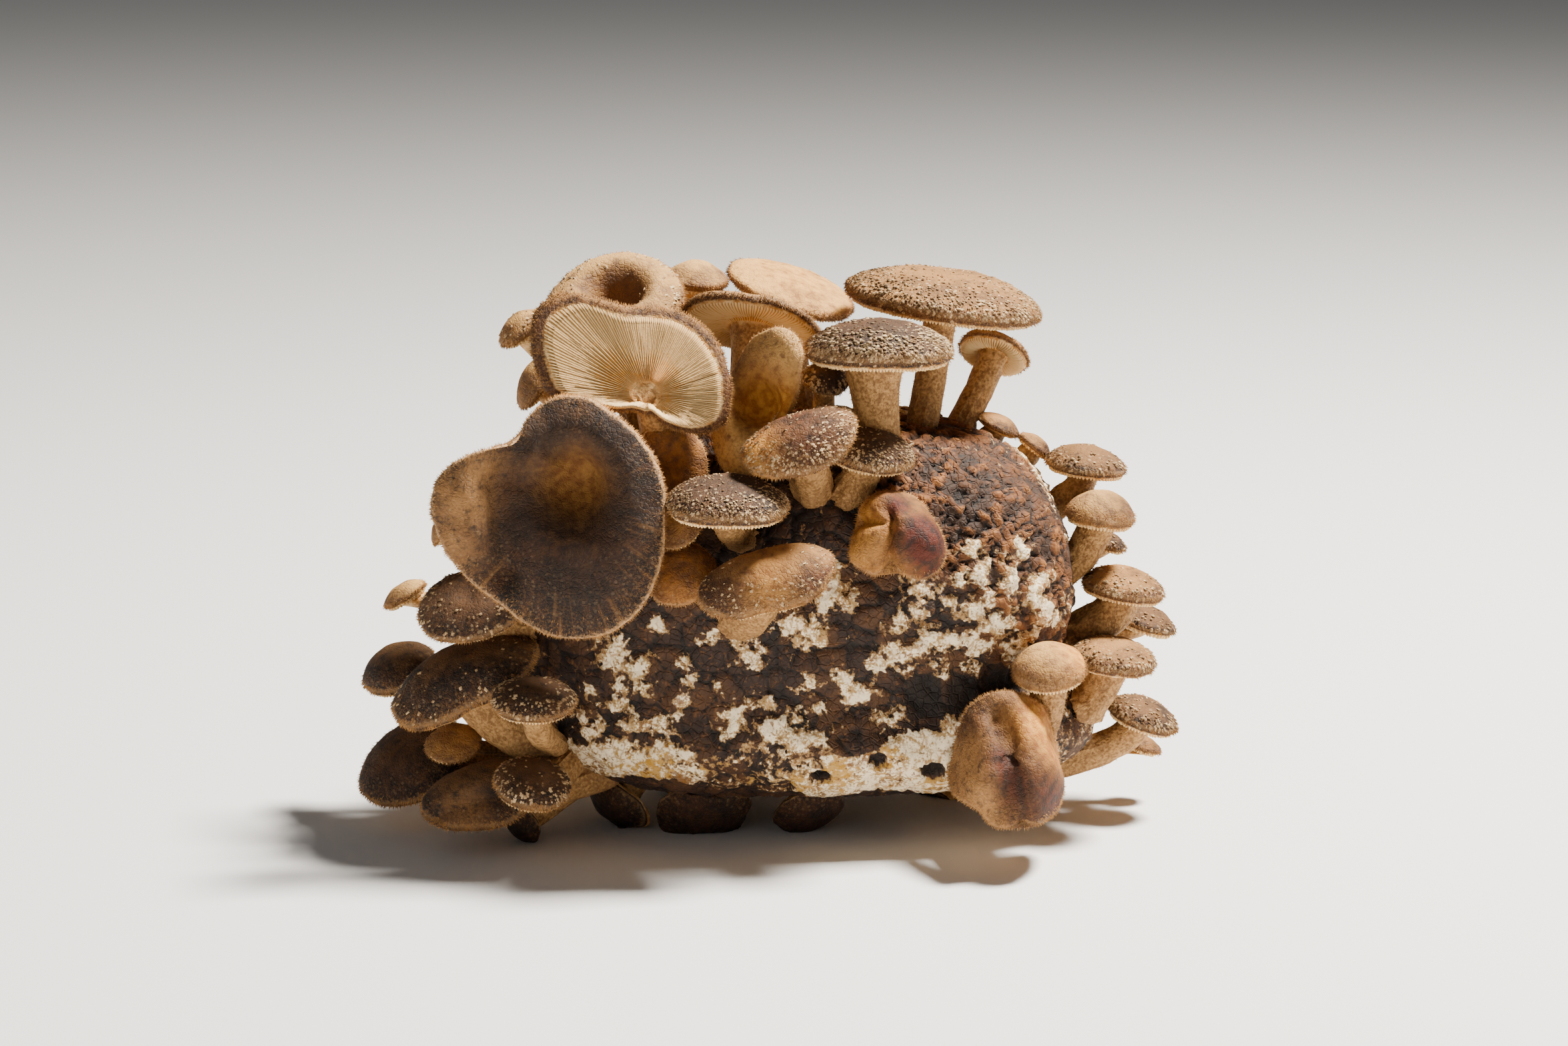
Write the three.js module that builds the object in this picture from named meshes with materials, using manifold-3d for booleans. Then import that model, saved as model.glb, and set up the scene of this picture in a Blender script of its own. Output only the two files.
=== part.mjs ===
// A sawdust log of shiitake, fruiting on every side.
//
// Millimetres, +Z up. The log stands clear of the ground on the mushrooms that grew under it. Each
// mushroom is one lathe outline: over the cap, round its rim, under the gills and down the stem. Its
// cap rows are then bent by a few named shapes, and its stem rows follow a curve into the log.

import * as THREE from "three";
import { mergeVertices } from "three/addons/utils/BufferGeometryUtils.js";
import Module from "manifold-3d";

const wasm = await Module();
wasm.setup();

// ---------------------------------------------------------------- driving dimensions

const GAP = 0.3; // air between pieces that touch
const CLEAR = GAP * 1.15; // how far a surface moves out along its normals to leave that air
const TURN = 2 * Math.PI;

const LOG = {
  centre: new THREE.Vector3(3, 0, 88),
  half: new THREE.Vector3(105, 62, 70),
  squareness: 3, // 2 is an ellipsoid, more is boxier
  around: 28,
  upward: 16,
  colour: 0x4a2a18,
};

// The lip of white mycelium round the foot of the log, and the hollow above it.
const LIP = { height: 36, thickness: 17, front: 0.1, right: 0.28, left: 0.06, back: 0.06 };
const HOLLOW = { height: 63, thickness: 8, depth: 0.07 };

// Lumps in the log: how far they stand out, and how far apart they are along each axis.
const LUMPS = [
  { out: 2.4, apart: new THREE.Vector3(61, 47, 53), shift: 0.4 },
  { out: 1.5, apart: new THREE.Vector3(29, 34, 26), shift: 2.1 },
];

const GROUND = 5; // level of the ground below the log

// Rows of one mushroom: over and under the cap as parts of its radius, and along the stem.
const FINE = { over: [0.34, 0.64, 0.88, 1], under: [0.92, 0.52], stem: [0.02, 0.5, 1] };
const PLAIN = { over: [0.4, 0.78, 1], under: [0.9, 0.5], stem: [0.02, 0.5, 1] };
const SMALL = { over: [0.48, 0.84, 1], under: [0.7], stem: [0.02, 1] };
const STEM_SIDES = 8; // of a stem that is a node of its own

const COLOURS = { dark: 0x4d3229, brown: 0x76523f, tan: 0xc4a077, amber: 0xb98042, stem: 0xcfb083 };

// ---------------------------------------------------------------- the mushrooms
//
// at: middle of the cap, level with its rim. top: the way its top faces. radius: of the cap.
// crown, sink, lip, arch: height of the dome, depth of the dimple, drop of the rim and rise of the
// gills, as parts of the radius. outline, rim: radius and lift of the rim at even steps round the
// cap, also as parts of the radius. fold: the cap hangs down on both sides of a line. stem: its
// radius at the cap and at the root. root: where it grows from. split: cap and stem are two nodes.

const MUSHROOMS = [
  // front of the crown
  {
    name: "crown_gill_fan", at: [-49, -58, 176], top: [-0.06, 0.9, -0.36], radius: 32, sides: 20,
    crown: 0.22, lip: 0.13, arch: 0.06, stem: [4, 6], root: [-44, -34, 146], bow: 6, rows: FINE,
    outline: [0.94, 0.88, 0.5, 0.24, 0.2, 0.2, 0.24, 0.4, 1.04, 1.36, 1.64, 1.12, 1.02, 1.03, 1, 0.97],
    rim: [0, 0.1, 0.08, 0, 0, 0, 0, 0.04, 0.1, 0.1, 0.04, -0.04, 0, 0, 0, -0.04], tone: "brown",
  },
  {
    name: "front_dish", at: [-75, -72, 148], top: [-0.16, -0.96, 0.2], radius: 42, sides: 18,
    crown: 0.16, sink: 0.36, lip: 0.12, arch: 0.02, stem: [9, 8], root: [-50, -20, 118], bow: 20,
    outline: [0.76, 0.69, 0.67, 0.73, 0.68, 0.62, 1.14, 1.22, 1.22, 1.34, 1.18, 0.9], rows: FINE,
    rim: [0, 0.02, 0.02, 0, 0.04, 0.24, 0.24, 0.02, -0.1, -0.1, -0.06, 0], tone: "dark",
  },
  {
    name: "front_funnel", at: [-10, -46, 174], top: [-0.34, -0.8, 0.5], radius: 20, sides: 12,
    crown: 0.2, sink: 0.45, lip: 0.2, arch: 0.04, stem: [7, 6], root: [0, -25, 148], bow: 10,
    outline: [0.9, 1.1, 1.15, 0.85, 0.7, 0.75, 1.1, 1.35, 0.95, 0.8], rows: FINE,
    rim: [0.3, 0.5, 0.4, 0.1, -0.1, 0, -0.2, -0.35, -0.1, 0.1], tone: "tan",
  },
  {
    name: "front_amber_oval", at: [-41, -57, 151], top: [0.25, -0.93, 0.25], radius: 15, sides: 9,
    crown: 0.25, sink: 0.25, lip: 0.16, arch: 0.05, stem: [5, 5], root: [-28, -36, 140], bow: 8,
    outline: [0.9, 1, 1.15, 1.1, 0.85, 0.8, 0.95, 1], rows: PLAIN, tone: "amber",
  },
  {
    name: "front_roof", at: [5, -71, 165], top: [-0.3, -0.36, 0.88], radius: 20.5, sides: 11,
    crown: 0.32, lip: 0.22, arch: 0.14, stem: [8, 7], root: [12, -44, 134], bow: 10, rows: PLAIN,
    outline: [1, 1, 0.85, 0.9, 1.05, 1, 0.85, 0.95], fold: { turn: 0.2, drop: 0.18 },
    tone: "brown",
  },
  {
    name: "front_shoulder", at: [31, -52, 156], top: [0.16, -0.2, 0.96], radius: 15.8, sides: 10,
    crown: 0.44, lip: 0.26, arch: 0.16, stem: [7.5, 6], root: [16, -48, 130], bow: 10, rows: PLAIN,
    tone: "dark",
  },
  {
    name: "front_scaly", at: [-20, -75, 141.5], top: [0.04, -0.1, 0.99], radius: 21.5, sides: 11,
    crown: 0.4, lip: 0.22, arch: 0.14, stem: [7, 6], root: [-14, -48, 122], bow: 6, rows: PLAIN,
    outline: [1, 1, 0.9, 0.95, 1, 1, 0.85, 0.95], tone: "dark", split: true,
  },
  {
    name: "front_pale_bud", at: [-38, -65, 130], top: [-0.3, -0.6, 0.7], radius: 9, sides: 8,
    crown: 0.5, lip: 0.3, stem: [4, 4], root: [-30, -40, 120], rows: SMALL, tone: "tan",
  },
  {
    name: "front_amber_low", at: [-38, -66, 115], top: [-0.15, -0.8, 0.55], radius: 13.5, sides: 9,
    crown: 0.45, lip: 0.2, stem: [6, 6], root: [-28, -40, 106], bow: 4, rows: PLAIN,
    outline: [1, 0.9, 0.9, 1, 1, 0.95, 1, 1], tone: "amber",
  },
  {
    name: "front_saddle", at: [-7, -80, 116], top: [-0.12, -0.4, 0.9], radius: 24.5, sides: 12,
    crown: 0.36, lip: 0.2, arch: 0.14, stem: [9, 8], root: [-20, -54, 92], bow: 12, rows: PLAIN,
    outline: [1.02, 0.9, 0.62, 0.65, 0.98, 0.95, 0.7, 0.85], rim: [0.1, 0.1, 0, -0.1, -0.1, 0, 0.1, 0.1],
    fold: { turn: 0.1, drop: 0.2 }, tone: "brown",
  },
  {
    name: "front_knob", at: [40, -67, 130], top: [0.1, -0.86, 0.5], radius: 17.5, sides: 12,
    crown: 0.62, lip: 0.2, stem: [8, 8], root: [38, -40, 118], bow: 6, rows: PLAIN,
    outline: [1.05, 1, 0.9, 0.85, 0.95, 1.15, 0.9, 1.1], fold: { turn: 1.9, drop: 0.16 },
    crease: { turn: 1.7, offset: -0.25, depth: 0.34, width: 0.22 }, tone: "amber",
  },

  // top of the crown
  {
    name: "crown_parasol", at: [59.5, 8, 203], top: [0.1, 0, 1], radius: 36.5, sides: 16,
    crown: 0.26, lip: 0.15, arch: 0.1, stem: [6.2, 5.4], root: [50, -4, 150], bow: 14, rows: FINE,
    outline: [1, 0.97, 0.92, 0.97, 1, 0.96, 0.92, 0.98],
    rim: [-0.06, -0.04, 0, 0.02, 0.02, 0, -0.04, -0.06], tone: "tan", split: true,
  },
  {
    name: "crown_scaly", at: [34, -44, 192], top: [0.02, -0.02, 1], radius: 26.5, sides: 14,
    crown: 0.36, lip: 0.2, arch: 0.14, stem: [10.5, 6.5], root: [38, -42, 150], bow: 12, rows: FINE,
    outline: [1, 0.94, 0.86, 0.92, 1, 0.95, 0.85, 0.94], tone: "dark", split: true,
  },
  {
    name: "crown_hollow_dish", at: [-62, -14, 205], top: [-0.12, -0.46, 0.88], radius: 25, sides: 12,
    crown: 0.32, sink: 0.62, lip: 0.26, arch: 0.06, stem: [8, 7], root: [-50, -8, 150], bow: 16,
    outline: [1, 1.02, 0.94, 0.96, 1, 1.02, 0.86, 0.9], rows: FINE,
    rim: [-0.1, 0.02, 0.12, 0.06, 0, -0.08, 0, -0.08], tone: "tan",
  },
  {
    name: "crown_gill_wave", at: [-12, -8, 195], top: [0.08, 0.5, 0.86], radius: 27.5, sides: 13,
    crown: 0.2, lip: 0.14, arch: 0.06, stem: [8, 8], root: [-8, -6, 152], bow: 16, rows: FINE,
    outline: [1, 0.85, 0.7, 0.8, 0.97, 1, 0.82, 0.94],
    rim: [-0.22, -0.04, 0, 0, -0.1, 0.06, 0.08, -0.02], tone: "brown",
  },
  {
    name: "crown_flat", at: [3, 34, 202], top: [0.3, -0.2, 0.93], radius: 24, sides: 11,
    crown: 0.2, lip: 0.14, arch: 0.06, stem: [7, 7], root: [6, 26, 150], bow: 14, rows: PLAIN,
    outline: [1, 0.95, 0.95, 1, 1.05, 0.95, 0.9, 1], tone: "tan",
  },
  {
    name: "crown_small", at: [-33, 24, 207], top: [0.1, -0.2, 1], radius: 12, sides: 8,
    crown: 0.5, lip: 0.3, stem: [5, 5], root: [-30, 22, 150], rows: SMALL, tone: "tan",
  },
  {
    name: "crown_plum", at: [15, -32, 178], top: [0.2, -0.45, 0.87], radius: 8.5, sides: 8,
    crown: 0.6, lip: 0.3, stem: [4, 4], root: [14, -22, 150], rows: SMALL, tone: "dark",
  },
  {
    name: "crown_trumpet", at: [80, 32, 178], top: [0.3, 0.62, 0.74], radius: 13.5, sides: 10,
    crown: 0.34, lip: 0.2, arch: 0.04, stem: [5.5, 5.5], root: [64, 22, 144], bow: 12, rows: PLAIN,
    tone: "brown",
  },
  {
    name: "crown_left_bud", at: [-97, -2, 192], top: [-0.6, -0.2, 0.8], radius: 9.5, sides: 8,
    crown: 0.6, lip: 0.3, stem: [4, 5], root: [-58, 0, 146], bow: 12, rows: SMALL, tone: "tan",
  },
  {
    name: "crown_left_ear", at: [-91, -26, 176], top: [-0.8, -0.3, 0.5], radius: 10.5, sides: 8,
    crown: 0.5, lip: 0.26, stem: [4, 5], root: [-56, -14, 142], bow: 10, rows: SMALL, tone: "tan",
  },
  {
    name: "crown_ridge_bud", at: [81, 22, 151], top: [0.45, 0, 0.9], radius: 9, sides: 8,
    crown: 0.45, lip: 0.26, stem: [4.5, 4.5], root: [68, 18, 134], rows: SMALL, tone: "brown",
  },
  {
    name: "crown_ridge_button", at: [95, 18, 144], top: [0.6, 0, 0.8], radius: 7, sides: 8,
    crown: 0.5, lip: 0.3, stem: [4, 4], root: [82, 16, 130], rows: SMALL, tone: "brown",
  },

  // right side, from the top down
  {
    name: "right_first", at: [114, 10, 139], top: [0.12, -0.02, 1], radius: 15, sides: 10,
    crown: 0.42, lip: 0.22, arch: 0.1, stem: [5.5, 5.5], root: [92, 8, 118], bow: 12, rows: PLAIN,
    tone: "dark", split: true,
  },
  {
    name: "right_second", at: [118, -8, 124], top: [0.12, -0.04, 1], radius: 12.8, sides: 10,
    crown: 0.62, lip: 0.32, arch: 0.1, stem: [7, 6], root: [92, -6, 92], bow: 16, rows: PLAIN,
    tone: "tan",
  },
  {
    name: "right_third", at: [123, 24, 105], top: [0.3, 0, 1], radius: 8, sides: 8,
    crown: 0.6, lip: 0.3, stem: [4.5, 4.5], root: [96, 20, 92], rows: SMALL, tone: "dark",
  },
  {
    name: "right_fourth", at: [127, -8, 96], top: [0.16, -0.04, 1], radius: 15.5, sides: 10,
    crown: 0.42, lip: 0.24, arch: 0.1, stem: [8, 8], root: [94, -8, 72], bow: 14, rows: PLAIN,
    tone: "brown", split: true,
  },
  {
    name: "right_fifth", at: [138, 16, 76], top: [0.3, 0, 1], radius: 12, sides: 8,
    crown: 0.5, lip: 0.3, stem: [5, 5], root: [98, 16, 62], bow: 10, rows: SMALL, tone: "dark",
  },
  {
    name: "right_sixth", at: [122, -26, 73], top: [0.12, -0.08, 1], radius: 16, sides: 10,
    crown: 0.4, lip: 0.24, arch: 0.1, stem: [8, 7], root: [94, -24, 40], bow: 16, rows: PLAIN,
    tone: "brown",
  },
  {
    name: "right_seventh", at: [96, -58, 77], top: [-0.1, -0.25, 1], radius: 13.3, sides: 10,
    crown: 0.6, lip: 0.32, stem: [7, 6], root: [92, -40, 48], bow: 12, rows: PLAIN, tone: "tan",
  },
  {
    name: "right_eighth", at: [136, -4, 45], top: [0.34, -0.1, 1], radius: 13.4, sides: 10,
    crown: 0.44, lip: 0.26, arch: 0.1, stem: [6.5, 6], root: [98, -6, 26], bow: 12, rows: PLAIN,
    tone: "dark",
  },
  {
    name: "right_ninth", at: [138, 16, 27], top: [0.3, 0, 1], radius: 7, sides: 8,
    crown: 0.5, lip: 0.3, stem: [4, 4], root: [100, 14, 30], rows: SMALL, tone: "brown",
  },
  {
    name: "right_mitten", at: [81, -77, 48], top: [0.05, -0.84, 0.5], radius: 24, sides: 14,
    crown: 0.42, lip: 0.16, stem: [9, 9], root: [76, -40, 42], bow: 4, rows: FINE,
    outline: [1.28, 1.2, 1.04, 1.12, 1.16, 0.88, 1.04, 1.12], rim: [-0.3, -0.1, 0.1, 0, -0.3, -0.1, 0, 0],
    fold: { turn: 1.57, drop: 0.26 }, crease: { turn: 1.5, offset: 0.05, depth: 0.3, width: 0.16 },
    tone: "brown",
  },

  // left side, from the top down
  {
    name: "left_sliver", at: [-124, -34, 124], top: [-0.8, 0, 0.5], radius: 8, sides: 8,
    crown: 0.5, lip: 0.3, stem: [4, 4], root: [-66, -20, 112], rows: SMALL, tone: "tan",
  },
  {
    name: "left_brim", at: [-114, -42, 97], top: [-0.2, -0.5, 0.84], radius: 20.5, sides: 11,
    crown: 0.3, sink: 0.1, lip: 0.2, stem: [7, 7], root: [-66, -26, 84], bow: 12, rows: PLAIN,
    outline: [1.05, 0.95, 0.9, 0.95, 1, 0.95, 0.85, 0.95], tone: "dark",
  },
  {
    name: "left_far_bud", at: [-144, 10, 88], top: [-0.5, 0, 0.85], radius: 9, sides: 8,
    crown: 0.5, lip: 0.3, stem: [4.5, 5], root: [-70, 6, 78], bow: 10, rows: SMALL, tone: "tan",
  },
  {
    name: "left_dome", at: [-145, -8, 64], top: [-0.3, -0.3, 0.9], radius: 14, sides: 9,
    crown: 0.58, lip: 0.28, stem: [6, 6], root: [-70, -2, 58], bow: 10, rows: PLAIN, tone: "dark",
  },
  {
    name: "left_folded", at: [-116, -42, 71], top: [-0.26, -0.3, 0.92], radius: 29, sides: 13,
    crown: 0.34, lip: 0.16, arch: 0.1, stem: [11, 12], root: [-84, -36, 42], bow: 14, rows: FINE,
    outline: [0.96, 0.9, 0.85, 0.95, 1.05, 1, 0.72, 0.86],
    rim: [0.16, 0.1, 0, -0.06, -0.12, -0.12, 0.06, 0.16], fold: { turn: 0.3, drop: 0.14 },
    tone: "brown",
  },
  {
    name: "left_pebble", at: [-90, -72, 69], top: [0.02, -0.3, 0.95], radius: 15, sides: 10,
    crown: 0.4, lip: 0.22, stem: [5, 5], root: [-84, -44, 44], bow: 16, rows: PLAIN, tone: "dark",
    outline: [1, 0.95, 0.85, 0.95, 1, 0.95, 0.85, 0.95],
  },
  {
    name: "left_slab", at: [-138, -24, 32], top: [-0.3, -0.5, 0.81], radius: 22, sides: 10,
    crown: 0.34, lip: 0.18, stem: [7, 8], root: [-70, -12, 36], bow: 10, rows: PLAIN,
    outline: [0.92, 1, 1, 0.95, 1, 1, 0.85, 0.9], tone: "brown",
  },
  {
    name: "left_amber_edge", at: [-122, -38, 43], top: [-0.1, -0.4, 0.9], radius: 11, sides: 8,
    crown: 0.3, lip: 0.26, stem: [3.5, 3.5], root: [-90, -14, 34], bow: 10, rows: SMALL, tone: "amber",
  },
  {
    name: "left_low_fold", at: [-112, -54, 30], top: [-0.1, -0.5, 0.86], radius: 21, sides: 11,
    crown: 0.34, lip: 0.2, stem: [7, 8], root: [-68, -30, 30], bow: 8, rows: PLAIN,
    outline: [1, 0.9, 0.8, 0.85, 1, 1, 0.8, 0.9], fold: { turn: 0.5, drop: 0.16 }, tone: "brown",
  },
  {
    name: "left_low_dark", at: [-91, -66, 36], top: [0.16, -0.36, 0.92], radius: 14, sides: 10,
    crown: 0.42, lip: 0.26, stem: [7, 8], root: [-80, -40, 40], bow: 12, rows: PLAIN, tone: "dark",
  },

  // under the log: it stands on these
  {
    name: "under_left", at: [-97, -38, 13], top: [-0.5, -0.5, -0.3], radius: 9, sides: 8,
    crown: 0.6, lip: 0.3, stem: [5, 6], root: [-72, -20, 28], rows: SMALL, tone: "dark", foot: true,
  },
  {
    name: "under_front_left", at: [-62, -18, 14], top: [-0.4, -0.4, -0.5], radius: 14, sides: 8,
    crown: 0.5, lip: 0.3, stem: [6, 7], root: [-52, -10, 34], rows: SMALL, tone: "dark", foot: true,
  },
  {
    name: "under_middle", at: [-30, -26, 14], top: [0.1, -0.6, -0.4], radius: 18, sides: 9,
    crown: 0.4, lip: 0.24, stem: [7, 8], root: [-24, -12, 32], rows: SMALL, tone: "dark", foot: true,
  },
  {
    name: "under_front_right", at: [9, -26, 14], top: [0.2, -0.5, -0.5], radius: 14, sides: 8,
    crown: 0.44, lip: 0.28, stem: [6, 7], root: [14, -14, 30], rows: SMALL, tone: "dark", foot: true,
  },
  {
    name: "under_back_left", at: [-40, 34, 14], top: [-0.3, 0.5, -0.6], radius: 15, sides: 8,
    crown: 0.44, lip: 0.28, stem: [6, 7], root: [-34, 22, 30], rows: SMALL, tone: "dark", foot: true,
  },
  {
    name: "under_back_right", at: [64, 30, 14], top: [0.3, 0.5, -0.6], radius: 16, sides: 8,
    crown: 0.44, lip: 0.28, stem: [6, 7], root: [56, 20, 30], rows: SMALL, tone: "dark", foot: true,
  },

  // the back
  {
    name: "back_high", at: [-20, 70, 136], top: [-0.1, 0.5, 0.86], radius: 19, sides: 9,
    crown: 0.42, lip: 0.26, stem: [7, 7], root: [-14, 40, 108], bow: 12, rows: PLAIN, tone: "brown",
  },
  {
    name: "back_middle", at: [42, 82, 98], top: [0.1, 0.5, 0.86], radius: 21, sides: 9,
    crown: 0.4, lip: 0.24, stem: [8, 8], root: [38, 40, 74], bow: 14, rows: PLAIN, tone: "tan",
  },
  {
    name: "back_left", at: [-78, 62, 112], top: [-0.4, 0.4, 0.86], radius: 14, sides: 9,
    crown: 0.5, lip: 0.28, stem: [6, 6], root: [-66, 38, 92], bow: 12, rows: PLAIN, tone: "tan",
  },
  {
    name: "back_right", at: [90, 62, 66], top: [0.4, 0.45, 0.86], radius: 16, sides: 9,
    crown: 0.44, lip: 0.26, stem: [6, 6], root: [76, 36, 46], bow: 12, rows: PLAIN, tone: "brown",
  },
  {
    name: "back_low", at: [-36, 76, 66], top: [-0.2, 0.5, 0.86], radius: 17, sides: 9,
    crown: 0.5, lip: 0.3, stem: [7, 7], root: [-32, 40, 48], bow: 12, rows: PLAIN, tone: "dark",
  },
];

// ---------------------------------------------------------------- small tools

const vector = (list) => new THREE.Vector3(...list);

const swell = (value, middle, width) => Math.exp(-(((value - middle) / width) ** 2));

// A smooth value at any angle, from values at even steps round the circle.
function around(values, angle, plain) {
  if (!values) {
    return plain;
  }
  const count = values.length;
  const place = ((((angle / TURN) % 1) + 1) % 1) * count;
  const first = Math.floor(place);
  const part = place - first;
  const pick = (step) => values[(first + step + count) % count];
  const [a, b, c, d] = [pick(-1), pick(0), pick(1), pick(2)];
  const slopeIn = (c - a) / 2;
  const slopeOut = (d - b) / 2;
  const rise = c - b;
  const square = part * part;
  const cube = square * part;
  return b + slopeIn * part + (3 * rise - 2 * slopeIn - slopeOut) * square
    + (slopeIn + slopeOut - 2 * rise) * cube;
}

function welded(geometry) {
  const bare = geometry.clone();
  bare.deleteAttribute("normal");
  bare.deleteAttribute("uv");
  return mergeVertices(bare, 1e-4);
}

function toSolid(geometry) {
  const body = welded(geometry);
  return new wasm.Manifold(new wasm.Mesh({
    numProp: 3,
    vertProperties: new Float32Array(body.attributes.position.array),
    triVerts: new Uint32Array(body.index.array),
  }));
}

function toGeometry(solid) {
  const mesh = solid.getMesh();
  const geometry = new THREE.BufferGeometry();
  geometry.setAttribute("position", new THREE.BufferAttribute(mesh.vertProperties, 3));
  geometry.setIndex(new THREE.BufferAttribute(mesh.triVerts, 1));
  return geometry;
}

// The same surface moved out along its normals, to cut neighbours back by the gap.
function grown(geometry) {
  const body = welded(geometry);
  body.computeVertexNormals();
  const position = body.attributes.position;
  const normal = body.attributes.normal;
  for (let i = 0; i < position.count; i += 1) {
    const out = new THREE.Vector3().fromBufferAttribute(normal, i).multiplyScalar(CLEAR);
    const place = new THREE.Vector3().fromBufferAttribute(position, i).add(out);
    position.setXYZ(i, place.x, place.y, place.z);
  }
  return toSolid(body);
}

// ---------------------------------------------------------------- the log

function logPoint(direction) {
  const { centre, half, squareness } = LOG;
  const across = ["x", "y", "z"].reduce(
    (sum, axis) => sum + Math.abs(direction[axis] / half[axis]) ** squareness, 0);
  const point = direction.clone().multiplyScalar(across ** (-1 / squareness));
  const height = point.z + centre.z;
  const side = direction.x > 0 ? LIP.right : LIP.left;
  const face = direction.y < 0 ? LIP.front : LIP.back;
  const lip = swell(height, LIP.height, LIP.thickness);
  const hollow = HOLLOW.depth * swell(height, HOLLOW.height, HOLLOW.thickness);
  const facing = Math.max(0, direction.x) * Math.max(0, -direction.y) * 2;
  point.x *= 1 + side * lip - hollow * facing;
  point.y *= 1 + face * lip - hollow * facing;
  const outward = direction.clone().normalize();
  for (const { out, apart, shift } of LUMPS) {
    const wave = Math.sin(point.x * TURN / apart.x + shift) * Math.cos(point.y * TURN / apart.y)
      + Math.sin(point.z * TURN / apart.z + 2 * shift);
    point.addScaledVector(outward, out * wave / 2);
  }
  return point.add(centre);
}

function logGeometry() {
  const ball = new THREE.SphereGeometry(1, LOG.around, LOG.upward);
  ball.rotateX(Math.PI / 2);
  const position = ball.attributes.position;
  for (let i = 0; i < position.count; i += 1) {
    const point = logPoint(new THREE.Vector3().fromBufferAttribute(position, i));
    position.setXYZ(i, point.x, point.y, point.z);
  }
  return ball;
}

// ---------------------------------------------------------------- one mushroom

// Height of the cap's top, from its middle out to its rim.
function topHeight(spec, reach) {
  const dome = spec.crown * Math.cos(reach ** 1.4 * Math.PI / 2) ** 0.75;
  const dimple = (spec.sink ?? 0) * swell(reach, 0, 0.36);
  return reach < 1 ? dome - dimple : 0;
}

// Height of the cap's underside: the rim turns in under, and the gills rise behind it.
function underHeight(spec, reach) {
  const dimple = 0.8 * (spec.sink ?? 0) * swell(reach, 0, 0.45);
  const rise = (spec.arch ?? 0.08) * (1 - reach ** 2) * 1.3;
  return -spec.lip + rise - dimple;
}

// Cap rows have a reach and a height. Stem rows have a place along the stem.
function capRows(spec) {
  const over = spec.rows.over.map((reach) => ({ reach, height: topHeight(spec, reach) }));
  const under = spec.rows.under.map((reach) => ({ reach, height: underHeight(spec, reach) }));
  return [{ reach: 0, height: topHeight(spec, 0) }, ...over, ...under];
}

// The cap's own axes: across, away and top.
function capFrame(spec) {
  const top = vector(spec.top).normalize();
  const across = new THREE.Vector3(1, 0, 0).addScaledVector(top, -top.x).normalize();
  const away = top.clone().cross(across);
  return { at: vector(spec.at), top, across, away };
}

function capPoint(spec, frame, angle, reach, height) {
  const radius = spec.radius * around(spec.outline, angle, 1) * reach;
  const place = new THREE.Vector2(Math.cos(angle), Math.sin(angle)).multiplyScalar(radius);
  let level = spec.radius * (height + around(spec.rim, angle, 0) * reach ** 2);
  if (spec.fold) {
    const beside = new THREE.Vector2(-Math.sin(spec.fold.turn), Math.cos(spec.fold.turn));
    const off = place.dot(beside) / spec.radius;
    level -= spec.radius * spec.fold.drop * (2 * off) ** 2 / 2;
    place.addScaledVector(beside, -spec.radius * off * Math.abs(off) * spec.fold.drop);
  }
  if (spec.crease) {
    const { turn, offset, depth, width } = spec.crease;
    const off = (place.y * Math.cos(turn) - place.x * Math.sin(turn)) / spec.radius;
    level -= spec.radius * depth * swell(off, offset, width) * Math.min(1, reach * 1.4);
  }
  return frame.at.clone()
    .addScaledVector(frame.across, place.x)
    .addScaledVector(frame.away, place.y)
    .addScaledVector(frame.top, level);
}

// The stem's middle line: it leaves the cap square to the gills and bends to its root.
function stemLine(spec, frame, lift) {
  const start = frame.at.clone().addScaledVector(frame.top, spec.radius * underHeight(spec, 0) + lift);
  const bow = spec.bow ?? 6;
  const elbow = start.clone().addScaledVector(frame.top, -bow);
  return new THREE.QuadraticBezierCurve3(start, elbow, vector(spec.root));
}

function stemPoint(spec, frame, line, angle, along) {
  const [wide, narrow] = spec.stem;
  const radius = wide + (narrow - wide) * along;
  const upward = line.getTangent(along).negate();
  const across = frame.across.clone().addScaledVector(upward, -upward.dot(frame.across)).normalize();
  const away = upward.clone().cross(across);
  return line.getPoint(along)
    .addScaledVector(across, radius * Math.cos(angle))
    .addScaledVector(away, radius * Math.sin(angle));
}

// Turns the rows round the axis, then moves each vertex to its place on the cap or the stem.
function turned(spec, rows, line) {
  const frame = capFrame(spec);
  const outline = rows.map((row, index) => new THREE.Vector2(row.closed ? 0 : row.reach ?? 1, -index));
  const geometry = new THREE.LatheGeometry(outline, spec.sides);
  const position = geometry.attributes.position;
  for (let i = 0; i < position.count; i += 1) {
    const row = rows[i % rows.length];
    const step = Math.floor(i / rows.length) % spec.sides;
    const angle = -step / spec.sides * TURN;
    let point;
    if (row.along === undefined) {
      point = capPoint(spec, frame, angle, row.reach, row.height);
    } else if (row.closed) {
      point = line.getPoint(row.along);
    } else {
      point = stemPoint(spec, frame, line, angle, row.along);
    }
    position.setXYZ(i, point.x, point.y, point.z);
  }
  return geometry;
}

function capGeometry(spec) {
  const last = { reach: 0, height: underHeight(spec, 0) };
  return turned(spec, [...capRows(spec), last]);
}

function wholeGeometry(spec) {
  const line = stemLine(spec, capFrame(spec), 0);
  const rows = spec.rows.stem.map((along) => ({ along }));
  return turned(spec, [...capRows(spec), ...rows, { along: 1, closed: true }], line);
}

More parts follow.
